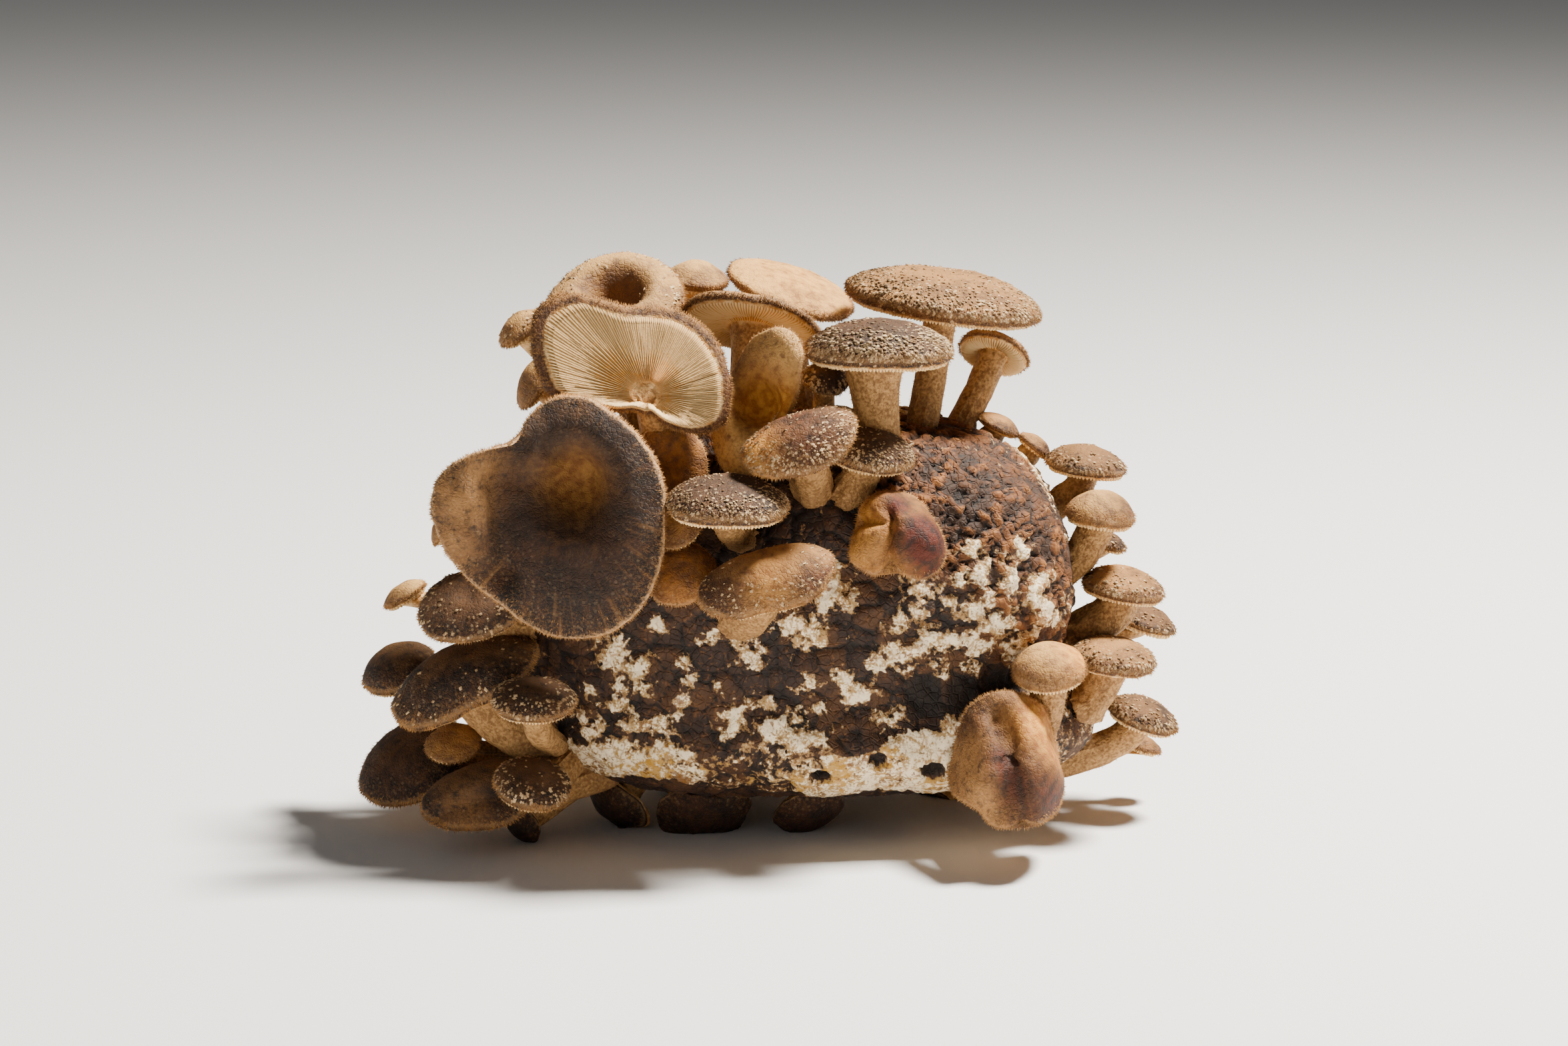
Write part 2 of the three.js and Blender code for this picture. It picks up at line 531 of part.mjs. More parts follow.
function stemGeometry(spec) {
  const edge = spec.stem[0] / spec.radius;
  const drop = spec.radius * (underHeight(spec, 0) - underHeight(spec, edge)) + 3 * GAP;
  const line = stemLine(spec, capFrame(spec), -drop);
  const rows = [0, 0.35, 0.7, 1].map((along) => ({ along }));
  const ends = [{ along: 0, closed: true }, { along: 1, closed: true }];
  return turned({ ...spec, sides: STEM_SIDES }, [ends[0], ...rows, ends[1]], line);
}

// ---------------------------------------------------------------- the object

const group = new THREE.Group();

function addMesh(name, solid, colour) {
  const material = new THREE.MeshStandardMaterial({ color: colour, roughness: 0.85, metalness: 0 });
  const mesh = new THREE.Mesh(toGeometry(solid), material);
  mesh.name = name;
  group.add(mesh);
}

const ground = new THREE.BoxGeometry(600, 600, 100);
ground.translate(0, 0, GROUND - 50);
const groundSolid = toSolid(ground);

// The space a solid needs: itself and the gap round it.
const roomFor = (solid) => grown(toGeometry(solid)).add(solid);

const logSolid = toSolid(logGeometry());
const logRoom = roomFor(logSolid);
const capRooms = MUSHROOMS.map((spec) => roomFor(toSolid(capGeometry(spec))));
const taken = [];

function touches(first, second) {
  const a = first.boundingBox();
  const b = second.boundingBox();
  return [0, 1, 2].every((axis) => a.min[axis] < b.max[axis] && b.min[axis] < a.max[axis]);
}

// Cuts a piece back from the log, from what is already there and from caps still to come, but
// never takes its own cap away for a later one.
function fitted(solid, index) {
  let left = solid.subtract(logRoom);
  for (const room of taken) {
    if (touches(left, room)) {
      left = left.subtract(room);
    }
  }
  for (const later of capRooms.slice(index + 1)) {
    if (touches(left, later)) {
      left = left.subtract(later.subtract(capRooms[index]));
    }
  }
  return MUSHROOMS[index].foot ? left.subtract(groundSolid) : left;
}

// Only the largest body is kept: a cut may leave a sliver of stem on the far side of a neighbour.
function largest(solid) {
  const bodies = solid.decompose();
  return bodies.reduce((best, body) => (body.volume() > best.volume() ? body : best));
}

addMesh("log", logSolid, LOG.colour);

MUSHROOMS.forEach((spec, index) => {
  const colour = COLOURS[spec.tone];
  if (spec.split) {
    const cap = largest(fitted(toSolid(capGeometry(spec)), index));
    taken.push(roomFor(cap));
    addMesh(`${spec.name}_cap`, cap, colour);
    const stem = largest(fitted(toSolid(stemGeometry(spec)), index));
    taken.push(roomFor(stem));
    addMesh(`${spec.name}_stem`, stem, COLOURS.stem);
  } else {
    const whole = largest(fitted(toSolid(wholeGeometry(spec)), index));
    taken.push(roomFor(whole));
    addMesh(spec.name, whole, colour);
  }
});

// The origin is the middle of the object's foot.
const box = new THREE.Box3().setFromObject(group);
const middle = box.getCenter(new THREE.Vector3());
group.position.set(-middle.x, -middle.y, -box.min.z);

export default group;
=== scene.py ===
"""Shiitake log: a sawdust log with its mushrooms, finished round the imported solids.

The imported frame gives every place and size. Each mushroom starts from a copy of its solid, which
is smoothed through the solid's own vertices and then given skin, gills, scales and felt.
"""

import itertools
import math

import bmesh
import bpy
import numpy as np
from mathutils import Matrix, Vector
from mathutils.bvhtree import BVHTree


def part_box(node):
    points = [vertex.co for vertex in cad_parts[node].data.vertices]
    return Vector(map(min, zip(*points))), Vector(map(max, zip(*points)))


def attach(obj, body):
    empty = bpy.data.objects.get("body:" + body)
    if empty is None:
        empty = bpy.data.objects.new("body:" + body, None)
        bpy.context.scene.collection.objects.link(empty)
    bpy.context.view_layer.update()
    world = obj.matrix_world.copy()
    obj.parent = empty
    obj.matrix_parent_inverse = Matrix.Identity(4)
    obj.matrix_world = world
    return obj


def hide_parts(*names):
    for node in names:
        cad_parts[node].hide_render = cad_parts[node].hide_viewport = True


bl_info = {
    "name": "Shiitake Log",
    "version": (1, 0, 0),
    "blender": (4, 5, 0),
    "location": "View3D > Sidebar > Shiitake",
    "description": "Finishes a sawdust log covered in shiitake mushrooms",
    "category": "Add Mesh",
}

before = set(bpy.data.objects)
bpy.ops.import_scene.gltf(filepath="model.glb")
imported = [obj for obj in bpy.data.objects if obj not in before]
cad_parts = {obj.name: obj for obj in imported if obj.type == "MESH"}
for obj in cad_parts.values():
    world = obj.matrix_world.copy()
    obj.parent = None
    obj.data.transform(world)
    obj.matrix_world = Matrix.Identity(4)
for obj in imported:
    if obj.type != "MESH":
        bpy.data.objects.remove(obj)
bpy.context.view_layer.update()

MM = 0.001
BODY = "root"
WELD = 0.005 * MM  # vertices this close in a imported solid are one

# How far out each row of a cap lies: 0 is the middle, 1 the rim, 2 where the stem starts and 3 the
# stem's root.
REACH = {
    "fine": [0, 0.34, 0.64, 0.88, 1, 1.25, 1.6, 2, 2.5, 3],
    "plain": [0, 0.4, 0.78, 1, 1.25, 1.6, 2, 2.5, 3],
    "small": [0, 0.48, 0.84, 1, 1.45, 2, 3],
}

RIM, STEM, ROOT = 1.0, 2.0, 3.0  # the numbers above, by name

# Every mushroom: the way its cap faces, the rows of its solid, its colour, and its traits where they
# differ from a plain one's. Places and sizes are in mm. A patch, a dent or a fold acts on the cap's
# top, round its place as seen along the cap's axis.
#   pale: how much paler a cap is made where it faces up. streaks: dark rays towards the rim. edge:
#       paleness of the brim.
#   pale: bleaching of what faces up. streaks: dark rays towards the rim. edge: paleness of the brim.
#   scales, flake: how many flakes the cap has, and how large. felt: how many hairs the stem has.
#   gills, steps, start: distance between gills, faces along each, and the reach where they begin.
#   dents: place, radius, depth. folds: from, to, width, depth.
#   glow, russet, and the pale and dark patches: place, radius, strength, and the far end of a long
#   patch.
# The dark patches are painted shade, where a cap lies in shadow or in a crease; the pale patches are
# wear, and painted highlight on the front dish's lobe.
MUSHROOMS = {
    "crown_gill_fan": ((-0.06, 0.9, -0.36), "fine", "brown", {
        "level": 4, "gills": 0.8, "steps": 18, "pale": 0.5, "start": 1.28, "edge": 0.1}),
    # The front dish lies in the shadow of the gill fan: its dark skin and its dark patches are painted
    # shade, and the pale patches on its left lobe are painted highlight.
    "front_dish": ((-0.16, -0.96, 0.2), "fine", "dark", {
        "level": 4, "pale": 0.3, "glow": [((-70, -74, 142), 12, 0.33)], "streaks": 1.0,
        "wear_and_highlight": [((-110, -85, 138), 11, 1.0), ((-105, -85, 150), 9, 0.9), ((-114, -80, 122), 9, 0.9)],
        "painted_shade": [((-50, -78, 165), 18, 0.9), ((-82, -78, 162), 12, 0.9), ((-88, -78, 130), 9, 0.85),
                 ((-56, -78, 134), 7, 0.7), ((-64, -78, 106), 15, 0.6), ((-42, -78, 140), 9, 0.8)],
        "dents": [((-70, -78, 143), 13, 5), ((-108, -82, 140), 8, -4), ((-108, -82, 126), 7, -3),
                  ((-70, -78, 118), 9, -1.5)],
        "folds": [((-90, -85, 156), (-98, -85, 142), 6, 6), ((-98, -85, 142), (-96, -85, 112), 6, 6)],
        "edge": 1.0}),
    "front_funnel": ((-0.34, -0.8, 0.5), "fine", "tan", {
        "pale": 0.8, "glow": [((-7, -60, 172), 11, 1.0), ((3, -58, 168), 9, 1.0)],
        "wear_and_highlight": [((3, -60, 190), 14, 0.7), ((-13, -60, 152), 13, 1.0), ((14, -60, 176), 8, 0.5)],
        "dents": [((-6, -62, 171), 7, 6), ((2, -60, 190), 9, -3.5), ((-13, -62, 152), 8, -3.5)]}),
    "front_amber_oval": ((0.25, -0.93, 0.25), "plain", "amber", {"pale": 0.3, "edge": 1.0}),
    "front_roof": ((-0.3, -0.36, 0.88), "plain", "brown", {
        "scales": 800, "flake": 0.75, "pale": 0.2, "felt": 500, "glow": [((-6, -80, 160), 8, 0.7)],
        "russet": [((8, -74, 166), 12, 0.6)], "wear_and_highlight": [((-8, -86, 152), 8, 0.6)]}),
    "front_shoulder": ((0.16, -0.2, 0.96), "plain", "dark", {
        "scales": 800, "flake": 0.75, "pale": 0.15, "felt": 700}),
    "front_scaly": ((0.04, -0.1, 0.99), "plain", "dark", {
        "scales": 1100, "flake": 0.75, "pale": 0.12, "felt": 400}),
    "front_pale_bud": ((-0.3, -0.6, 0.7), "small", "tan", {"pale": 0.6}),
    "front_amber_low": ((-0.15, -0.8, 0.55), "plain", "amber", {"pale": 0.15}),
    # The dark patches on the front saddle are painted shade on its left part.
    "front_saddle": ((-0.12, -0.4, 0.9), "plain", "brown", {
        "pale": 0.7, "scales": 240, "flake": 0.7, "felt": 500, "wear_and_highlight": [((2, -92, 100), 9, 0.5)],
        "russet": [((26, -90, 98), 12, 0.5)], "glow": [((0, -88, 100), 8, 0.35)],
        "painted_shade": [((-20, -84, 98), 10, 0.9), ((-12, -84, 106), 7, 0.6)]}),
    "front_knob": ((0.1, -0.86, 0.5), "plain", "amber", {
        "pale": 0.4,
        "russet": [((54, -82, 126), 11, 1.3), ((46, -82, 140), 8, 1.0), ((58, -82, 116), 7, 1.0)],
        "wear_and_highlight": [((30, -78, 122), 9, 1.0), ((44, -86, 112), 6, 0.8)], "glow": [((35, -80, 138), 8, 0.5)],
        "dents": [((55, -86, 125), 9, -3.5), ((32, -80, 121), 6, -2.5)],
        "folds": [((43, -82, 137), (42, -86, 122), 3, 5.5), ((42, -86, 122), (46, -86, 108), 3, 5.5),
                  ((30, -78, 134), (40, -80, 130), 2.5, 3)]}),
    "crown_parasol": ((0.1, 0, 1), "fine", "tan", {
        "level": 4, "pale": 0.6, "skin": "brown", "scales": 2200, "felt": 1200, "flake": 0.95}),
    "crown_scaly": ((0.02, -0.02, 1), "fine", "dark", {
        "level": 4, "pale": 0.12, "scales": 1700, "felt": 1600, "flake": 1.2}),
    # The dark patch in the hollow dish is painted shade inside its hollow.
    "crown_hollow_dish": ((-0.12, -0.46, 0.88), "fine", "tan", {
        "pale": 0.75, "scales": 200, "dents": [((-57, -22, 206), 9, 4)],
        "painted_shade": [((-57, -20, 203), 12, 1.0)]}),
    "crown_gill_wave": ((0.08, 0.5, 0.86), "fine", "brown", {"pale": 0.75, "gills": 1.1, "steps": 12}),
    "crown_flat": ((0.3, -0.2, 0.93), "plain", "tan", {
        "pale": 1.0, "glow": [((8, 31, 204), 26, 0.45)]}),
    "crown_small": ((0.1, -0.2, 1), "small", "tan", {"pale": 0.8}),
    "crown_plum": ((0.2, -0.45, 0.87), "small", "dark", {"scales": 160, "pale": 0.3}),
    "crown_trumpet": ((0.3, 0.62, 0.74), "plain", "brown", {"gills": 1.0, "pale": 0.8}),
    "crown_left_bud": ((-0.6, -0.2, 0.8), "small", "tan", {"pale": 0.6, "scales": 80}),
    "crown_left_ear": ((-0.8, -0.3, 0.5), "small", "tan", {"pale": 0.5}),
    "crown_ridge_bud": ((0.45, 0, 0.9), "small", "brown", {"pale": 0.8}),
    "crown_ridge_button": ((0.6, 0, 0.8), "small", "brown", {"pale": 0.7}),
    "right_first": ((0.12, -0.02, 1), "plain", "dark", {"pale": 0.65, "scales": 200, "felt": 350}),
    "right_second": ((0.12, -0.04, 1), "plain", "tan", {
        "pale": 0.8, "felt": 450, "russet": [((131, -16, 124), 8, 0.6)]}),
    "right_third": ((0.3, 0, 1), "small", "dark", {"pale": 0.4, "scales": 60}),
    "right_fourth": ((0.16, -0.04, 1), "plain", "brown", {"pale": 0.7, "scales": 260, "felt": 350}),
    "right_fifth": ((0.3, 0, 1), "small", "dark", {"pale": 0.45, "scales": 120}),
    "right_sixth": ((0.12, -0.08, 1), "plain", "brown", {"pale": 0.7, "scales": 300, "felt": 450}),
    "right_seventh": ((-0.1, -0.25, 1), "plain", "tan", {
        "pale": 0.8, "felt": 500, "glow": [((112, -62, 79), 9, 1.0)]}),
    "right_eighth": ((0.34, -0.1, 1), "plain", "dark", {"pale": 0.5, "scales": 320, "felt": 300}),
    "right_ninth": ((0.3, 0, 1), "small", "brown", {"pale": 0.5}),
    # The dark patches on the mitten are painted shade along its crease and low on its right lobe.
    "right_mitten": ((0.05, -0.84, 0.5), "fine", "brown", {
        "level": 4, "pale": 0.2, "glow": [((98, -88, 62), 10, 1.0), ((101, -92, 54), 8, 0.7)],
        "russet": [((82, -98, 52), 5, 0.8, (88, -98, 38)), ((102, -96, 34), 10, 0.9)],
        "wear_and_highlight": [((72, -96, 56), 6, 0.6, (78, -96, 24))],
        "dents": [((75, -98, 42), 8, -2.5), ((102, -95, 46), 8, -3.5)],
        "folds": [((81, -90, 66), (86, -96, 50), 4.5, 5.5), ((86, -96, 50), (92, -96, 14), 4, 3)],
        "painted_shade": [((83, -92, 62), 2.5, 0.8, (91, -96, 18)), ((98, -96, 24), 8, 0.7)]}),
    # The caps on the left lie in the shadow of the caps above them: left_brim, left_dome, left_slab,
    # left_folded and left_low_fold have the dark skin as painted shade.
    "left_sliver": ((-0.8, 0, 0.5), "small", "tan", {"pale": 0.6}),
    "left_brim": ((-0.2, -0.5, 0.84), "plain", "dark", {"pale": 0.2, "scales": 160}),
    "left_far_bud": ((-0.5, 0, 0.85), "small", "tan", {"pale": 0.8}),
    "left_dome": ((-0.3, -0.3, 0.9), "plain", "dark", {"pale": 0.35}),
    "left_folded": ((-0.26, -0.3, 0.92), "fine", "brown", {
        "level": 4, "pale": 0.35, "skin": "dark", "streaks": 0.6, "scales": 90,
        "folds": [((-122, -80, 66), (-92, -80, 82), 4, 3)],
        "wear_and_highlight": [((-100, -80, 58), 9, 0.9), ((-118, -78, 60), 8, 0.8)]}),
    "left_pebble": ((0.02, -0.3, 0.95), "plain", "dark", {"pale": 0.2, "scales": 260, "felt": 200}),
    "left_slab": ((-0.3, -0.5, 0.81), "plain", "dark", {"pale": 0.15}),
    "left_amber_edge": ((-0.1, -0.4, 0.9), "small", "amber", {"pale": 0.4, "skin": "tan"}),
    "left_low_fold": ((-0.1, -0.5, 0.86), "plain", "brown", {
        "skin": "dark", "pale": 0.4, "wear_and_highlight": [((-112, -72, 27), 8, 0.5)],
        "folds": [((-122, -72, 22), (-98, -72, 38), 4, 3)]}),
    "left_low_dark": ((0.16, -0.36, 0.92), "plain", "dark", {"pale": 0.2, "scales": 220}),
    "under_left": ((-0.5, -0.5, -0.3), "small", "dark", {}),
    "under_front_left": ((-0.4, -0.4, -0.5), "small", "dark", {}),
    "under_middle": ((0.1, -0.6, -0.4), "small", "dark", {}),
    "under_front_right": ((0.2, -0.5, -0.5), "small", "dark", {}),
    "under_back_left": ((-0.3, 0.5, -0.6), "small", "dark", {}),
    "under_back_right": ((0.3, 0.5, -0.6), "small", "dark", {}),
    "back_high": ((-0.1, 0.5, 0.86), "plain", "brown", {"pale": 0.7, "scales": 220, "felt": 300}),
    "back_middle": ((0.1, 0.5, 0.86), "plain", "tan", {"pale": 0.8, "scales": 160, "felt": 300}),
    "back_left": ((-0.4, 0.4, 0.86), "plain", "tan", {"pale": 0.8, "felt": 250}),
    "back_right": ((0.4, 0.45, 0.86), "plain", "brown", {"pale": 0.6, "scales": 180, "felt": 250}),
    "back_low": ((-0.2, 0.5, 0.86), "plain", "dark", {"pale": 0.4, "scales": 260, "felt": 250}),
}

# Mushrooms whose cap and stem are packed as two solids.
SPLIT = {"front_scaly", "crown_parasol", "crown_scaly", "right_first", "right_fourth"}

# The dark patches are painted shade; the pale patches are wear, and painted highlight on the front
# dish's lobe.
PATCHES = ("glow", "russet", "wear_and_highlight", "painted_shade")  # golden, red-brown, pale and dark patches
SKINS = {}  # what the gills, scales and felt of each mushroom need to know about its skin
PACKED_LAYERS = ("custom_normal", "sharp_edge", "sharp_face")  # shading that a smooth skin does without

FITS, PULL = 4, 0.95  # rounds that bring a smooth skin back to its cage, and how far each goes
FACING = 0.95  # how nearly the middle vertex of a cap faces the cap's own way

# Lumps in caps and stems: share of their height, size in mm, seed.
TOP_LUMPS = ((0.5, 13, 1), (0.24, 5, 2), (0.1, 2.3, 3))
BRIM_LUMPS = ((0.3, 2.6, 4), (0.35, 7, 8))
STALK_LUMPS = ((0.45, 4, 5), (0.25, 1.8, 6))
LONE_STALK_LUMPS = ((0.5, 4.5, 5), (0.3, 1.9, 6))

# Hairs and flakes.
HAIR_WIDTH = 0.13 * MM
FRINGE_WIDTH = 0.17 * MM
FRINGE_LENGTH = 1.35  # in hairs
FRINGE_MOST, FRINGE_DENSITY = 3000, 0.25  # hairs to a cap, and to a square millimetre
FLAKE_WIDTH = 0.7  # in lengths
FLAKE_LIFT = 0.35 * MM
SUNK = 0.12 * MM  # how deep a flake is rooted
LONE_STEM_HAIRS = 300

RAYS = 14  # how fine the rays on a cap are
GLUE = 0.002 * MM  # the two ends of a ring of gills are joined within this

# Lamps: side in m, place in m, colour.
KEY = (0.34, (0.8, 0.12, 1.75), (1.0, 0.95, 0.87))
FILL = (1.6, (-1.0, -1.6, 1.1), (0.95, 0.97, 1.0))
ROOM = (0.9, 0.93, 0.95, 1)
FLOOR_HALF = 9  # m


# ---------------------------------------------------------------- patterns in space


def hashed(cells, salt):
    """A repeatable number from 0 to 1 for each whole-numbered cell."""
    x, y, z = (cells[..., k].astype(np.int64) for k in range(3))
    mixed = (x * 73856093) ^ (y * 19349663) ^ (z * 83492791) ^ (salt * 2654435761)
    mixed = ((mixed ^ (mixed >> 13)) * 1274126177) & 0xFFFFFFFF
    return ((mixed ^ (mixed >> 15)) & 0xFFFF) / 65535.0


def ripple(points, size, salt=0):
    """Smooth noise from -1 to 1, with lumps about that size."""
    place = points / size
    base = np.floor(place)
    part = place - base
    part = part * part * (3 - 2 * part)
    total = np.zeros(len(points))
    for corner in itertools.product((0, 1), repeat=3):
        share = np.prod(np.where(corner, part, 1 - part), axis=1)
        total += share * hashed(base + corner, salt)
    return total * 2 - 1


def pebbles(points, size, salt=0):
    """Distances to the nearest and the second nearest of scattered seeds, and the nearest's number."""
    place = points / size
    base = np.floor(place)
    first = np.full(len(points), 9.0)
    second = first.copy()
    own = np.zeros(len(points))
    for offset in itertools.product((-1, 0, 1), repeat=3):
        cell = base + offset
        seed = cell + np.stack([hashed(cell, salt + k) for k in range(3)], axis=1)
        far = np.linalg.norm(place - seed, axis=1)
        near = far < first
        second = np.where(near, first, np.minimum(second, far))
        own = np.where(near, hashed(cell, salt + 7), own)
        first = np.where(near, far, first)
    return first, second, own


def step(values, low, high):
    """0 below low, 1 above high, and a smooth rise between."""
    part = np.clip((values - low) / (high - low), 0, 1)
    return part * part * (3 - 2 * part)


def bump(values, middle, width):
    """1 at the middle, falling away on both sides."""
    return np.exp(-(((values - middle) / width) ** 2))


def lumps(points, layers):
    """Ripples of several sizes together."""
    return sum(height * ripple(points, size, salt) for height, size, salt in layers)


# ---------------------------------------------------------------- shapes


def off_line(points, middle, axis, other=None):
    """How far each point is from a place, or from a stroke to another place, seen along an axis."""
    offset = points - middle
    offset -= np.outer(offset @ axis, axis)
    if other is not None:
        stroke = np.subtract(other, middle).astype(float)
        stroke -= stroke @ axis * axis
        offset -= np.outer(np.clip(offset @ stroke / (stroke @ stroke), 0, 1), stroke)
    return np.linalg.norm(offset, axis=1)


def link(name, mesh):
    """A new object for a mesh, in the scene."""
    piece = bpy.data.objects.new(name, mesh)
    bpy.context.scene.collection.objects.link(piece)
    return piece


def merged(node):
    """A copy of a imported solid, with its loose triangles joined up."""
    shape = bmesh.new()
    shape.from_mesh(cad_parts[node].data)
    bmesh.ops.remove_doubles(shape, verts=shape.verts, dist=WELD)
    for name in ("reach", "root"):
        shape.verts.layers.float.new(name)
    return shape


def rows_of(shape, facing):
    """The rows of a turned solid from its middle outwards, in the same order, and the diagonals."""
    shape.normal_update()
    apex = max(shape.verts, key=lambda v: (v.normal.dot(facing) > FACING, len(v.link_edges)))
    follow = {}
    for face in apex.link_faces:
        corners = list(face.verts)
        start = corners.index(apex)
        follow[corners[(start + 1) % 3]] = corners[(start + 2) % 3]
    row = [next(iter(follow))]
    while follow[row[-1]] is not row[0]:
        row.append(follow[row[-1]])
    rows, diagonals, used = [[apex], row], [], {apex, *row}
    while True:
        beyond = []
        for pair in zip(row, row[1:] + row[:1]):
            edge = shape.edges.get(pair)
            found = {v for face in edge.link_faces for v in face.verts} - used if edge else set()
            if len(found) != 1:
                return rows, diagonals
            beyond.append(found.pop())
        if len(set(beyond)) != len(row):
            return rows, diagonals
        shifted = beyond[-1:] + beyond[:-1]
        near, far = (
            sum((a.co - b.co).length for a, b in zip(row, other)) for other in (beyond, shifted))
        straight = near < far
        for first, second, across in zip(row, row[1:] + row[:1], beyond):
            diagonals.append(shape.edges.get((second if straight else first, across)))
        row = beyond if straight else shifted
        rows.append(row)
        used.update(row)


def steps_from(shape, rows, numbers):
    """Each vertex's number: its row's, and past the last whole row one step on for every edge."""
    numbers = numbers + [numbers[-1]] * len(rows)
    known = {vertex: numbers[index] for index, row in enumerate(rows) for vertex in row}
    row, index = rows[-1], len(rows) - 1
    while row:
        index += 1
        row = {edge.other_vert(vertex) for vertex in row for edge in vertex.link_edges} - known.keys()
        known.update(dict.fromkeys(row, numbers[min(index, len(numbers) - 1)]))
    return known


def read(mesh, name="co"):
    """Places, normals or a stored number of a mesh's vertices."""
    count = len(mesh.vertices)
    if name in ("co", "normal"):
        values = np.empty(count * 3)
        if name == "co":
            mesh.vertices.foreach_get("co", values)
        else:
            mesh.vertex_normals.foreach_get("vector", values)
        return values.reshape(-1, 3)
    values = np.empty(count)
    mesh.attributes[name].data.foreach_get("value", values)
    return values


def paint(mesh, **values):
    """Stores each named value of every vertex for the materials."""
    for name, numbers in values.items():
        numbers = np.asarray(numbers)
        kind = "FLOAT_VECTOR" if numbers.ndim == 2 else "FLOAT"
        field = "vector" if numbers.ndim == 2 else "value"
        layer = mesh.attributes.get(name) or mesh.attributes.new(name, kind, "POINT")
        layer.data.foreach_set(field, numbers.astype(np.float32).ravel())


def smoothed(name, shape, level):
    """A smooth piece whose surface passes through every vertex of the cage."""
    cage = bpy.data.meshes.new(name)
    shape.to_mesh(cage)
    shape.free()
    piece = link(name, cage)
    skin = piece.modifiers.new("Smooth", "SUBSURF")
    skin.levels = skin.render_levels = 1
    goal = read(cage)
    count = len(goal)
    for _ in range(FITS):
        depsgraph = bpy.context.evaluated_depsgraph_get()
        now = read(piece.evaluated_get(depsgraph).data)[:count]
        move(cage, read(cage) + np.clip(goal - now, -MM, MM) * PULL)
    skin.levels = skin.render_levels = level
    depsgraph = bpy.context.evaluated_depsgraph_get()
    mesh = bpy.data.meshes.new_from_object(
        piece.evaluated_get(depsgraph), preserve_all_data_layers=True, depsgraph=depsgraph)
    piece.modifiers.clear()
    piece.data = mesh
    mesh.name = name
    bpy.data.meshes.remove(cage)
    for layer in filter(None, map(mesh.attributes.get, PACKED_LAYERS)):
        mesh.attributes.remove(layer)
    return piece


def tree_of(mesh):
    """A mesh's surface, for finding the nearest place on it."""
    return BVHTree.FromPolygons(
        [tuple(v.co) for v in mesh.vertices], [tuple(p.vertices) for p in mesh.polygons])


def move(mesh, places):
    """Gives a mesh's vertices new places."""
    mesh.vertices.foreach_set("co", places.ravel())
    mesh.update()


def finished(piece, material, slot, *nodes):
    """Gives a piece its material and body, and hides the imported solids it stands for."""
    piece.data.materials.clear()
    piece.data.materials.append(material)
    piece.data.polygons.foreach_set("use_smooth", [True] * len(piece.data.polygons))
    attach(piece, BODY)
    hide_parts(*nodes)
    return piece


# ---------------------------------------------------------------- mushrooms


def family(name):
    """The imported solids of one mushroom: its cap, and its stem where that is a solid of its own."""
    return [f"{name}_cap", f"{name}_stem"] if name in SPLIT else [name]


def down_stem(places, upper, root, sizes):
    """How far each vertex goes on into the log, so that no gap shows round the stem's end."""
    down = places[-1].mean(axis=0) - places[upper].mean(axis=0)
    down /= np.linalg.norm(down)
    return down, down * (root ** 2 * sizes.tuck)[:, None]


def top_relief(points, axis, reach, traits):
    """The depth of the dents and folds in a cap's top."""
    top = 1 - step(reach, RIM, 1.15)
    depths = sum(
        depth * MM * bump(off_line(points, middle, axis), 0, radius)
        for middle, radius, depth in traits.get("dents", ()))
    fold = np.zeros(len(points))
    for start, end, width, depth in traits.get("folds", ()):
        fold = np.maximum(fold, depth * MM * bump(off_line(points, start, axis, end), 0, width))
    return (depths + fold) * top


def patches_of(points, axis, traits):
    """How strongly each kind of patch shows at each point."""
    found = {}
    for patch in PATCHES:
        found[patch] = np.zeros(len(points))
        for middle, radius, strength, *other in traits.get(patch, ()):
            spread = bump(off_line(points, middle, axis, *other), 0, radius)
            found[patch] = np.maximum(found[patch], strength * spread)
    return found


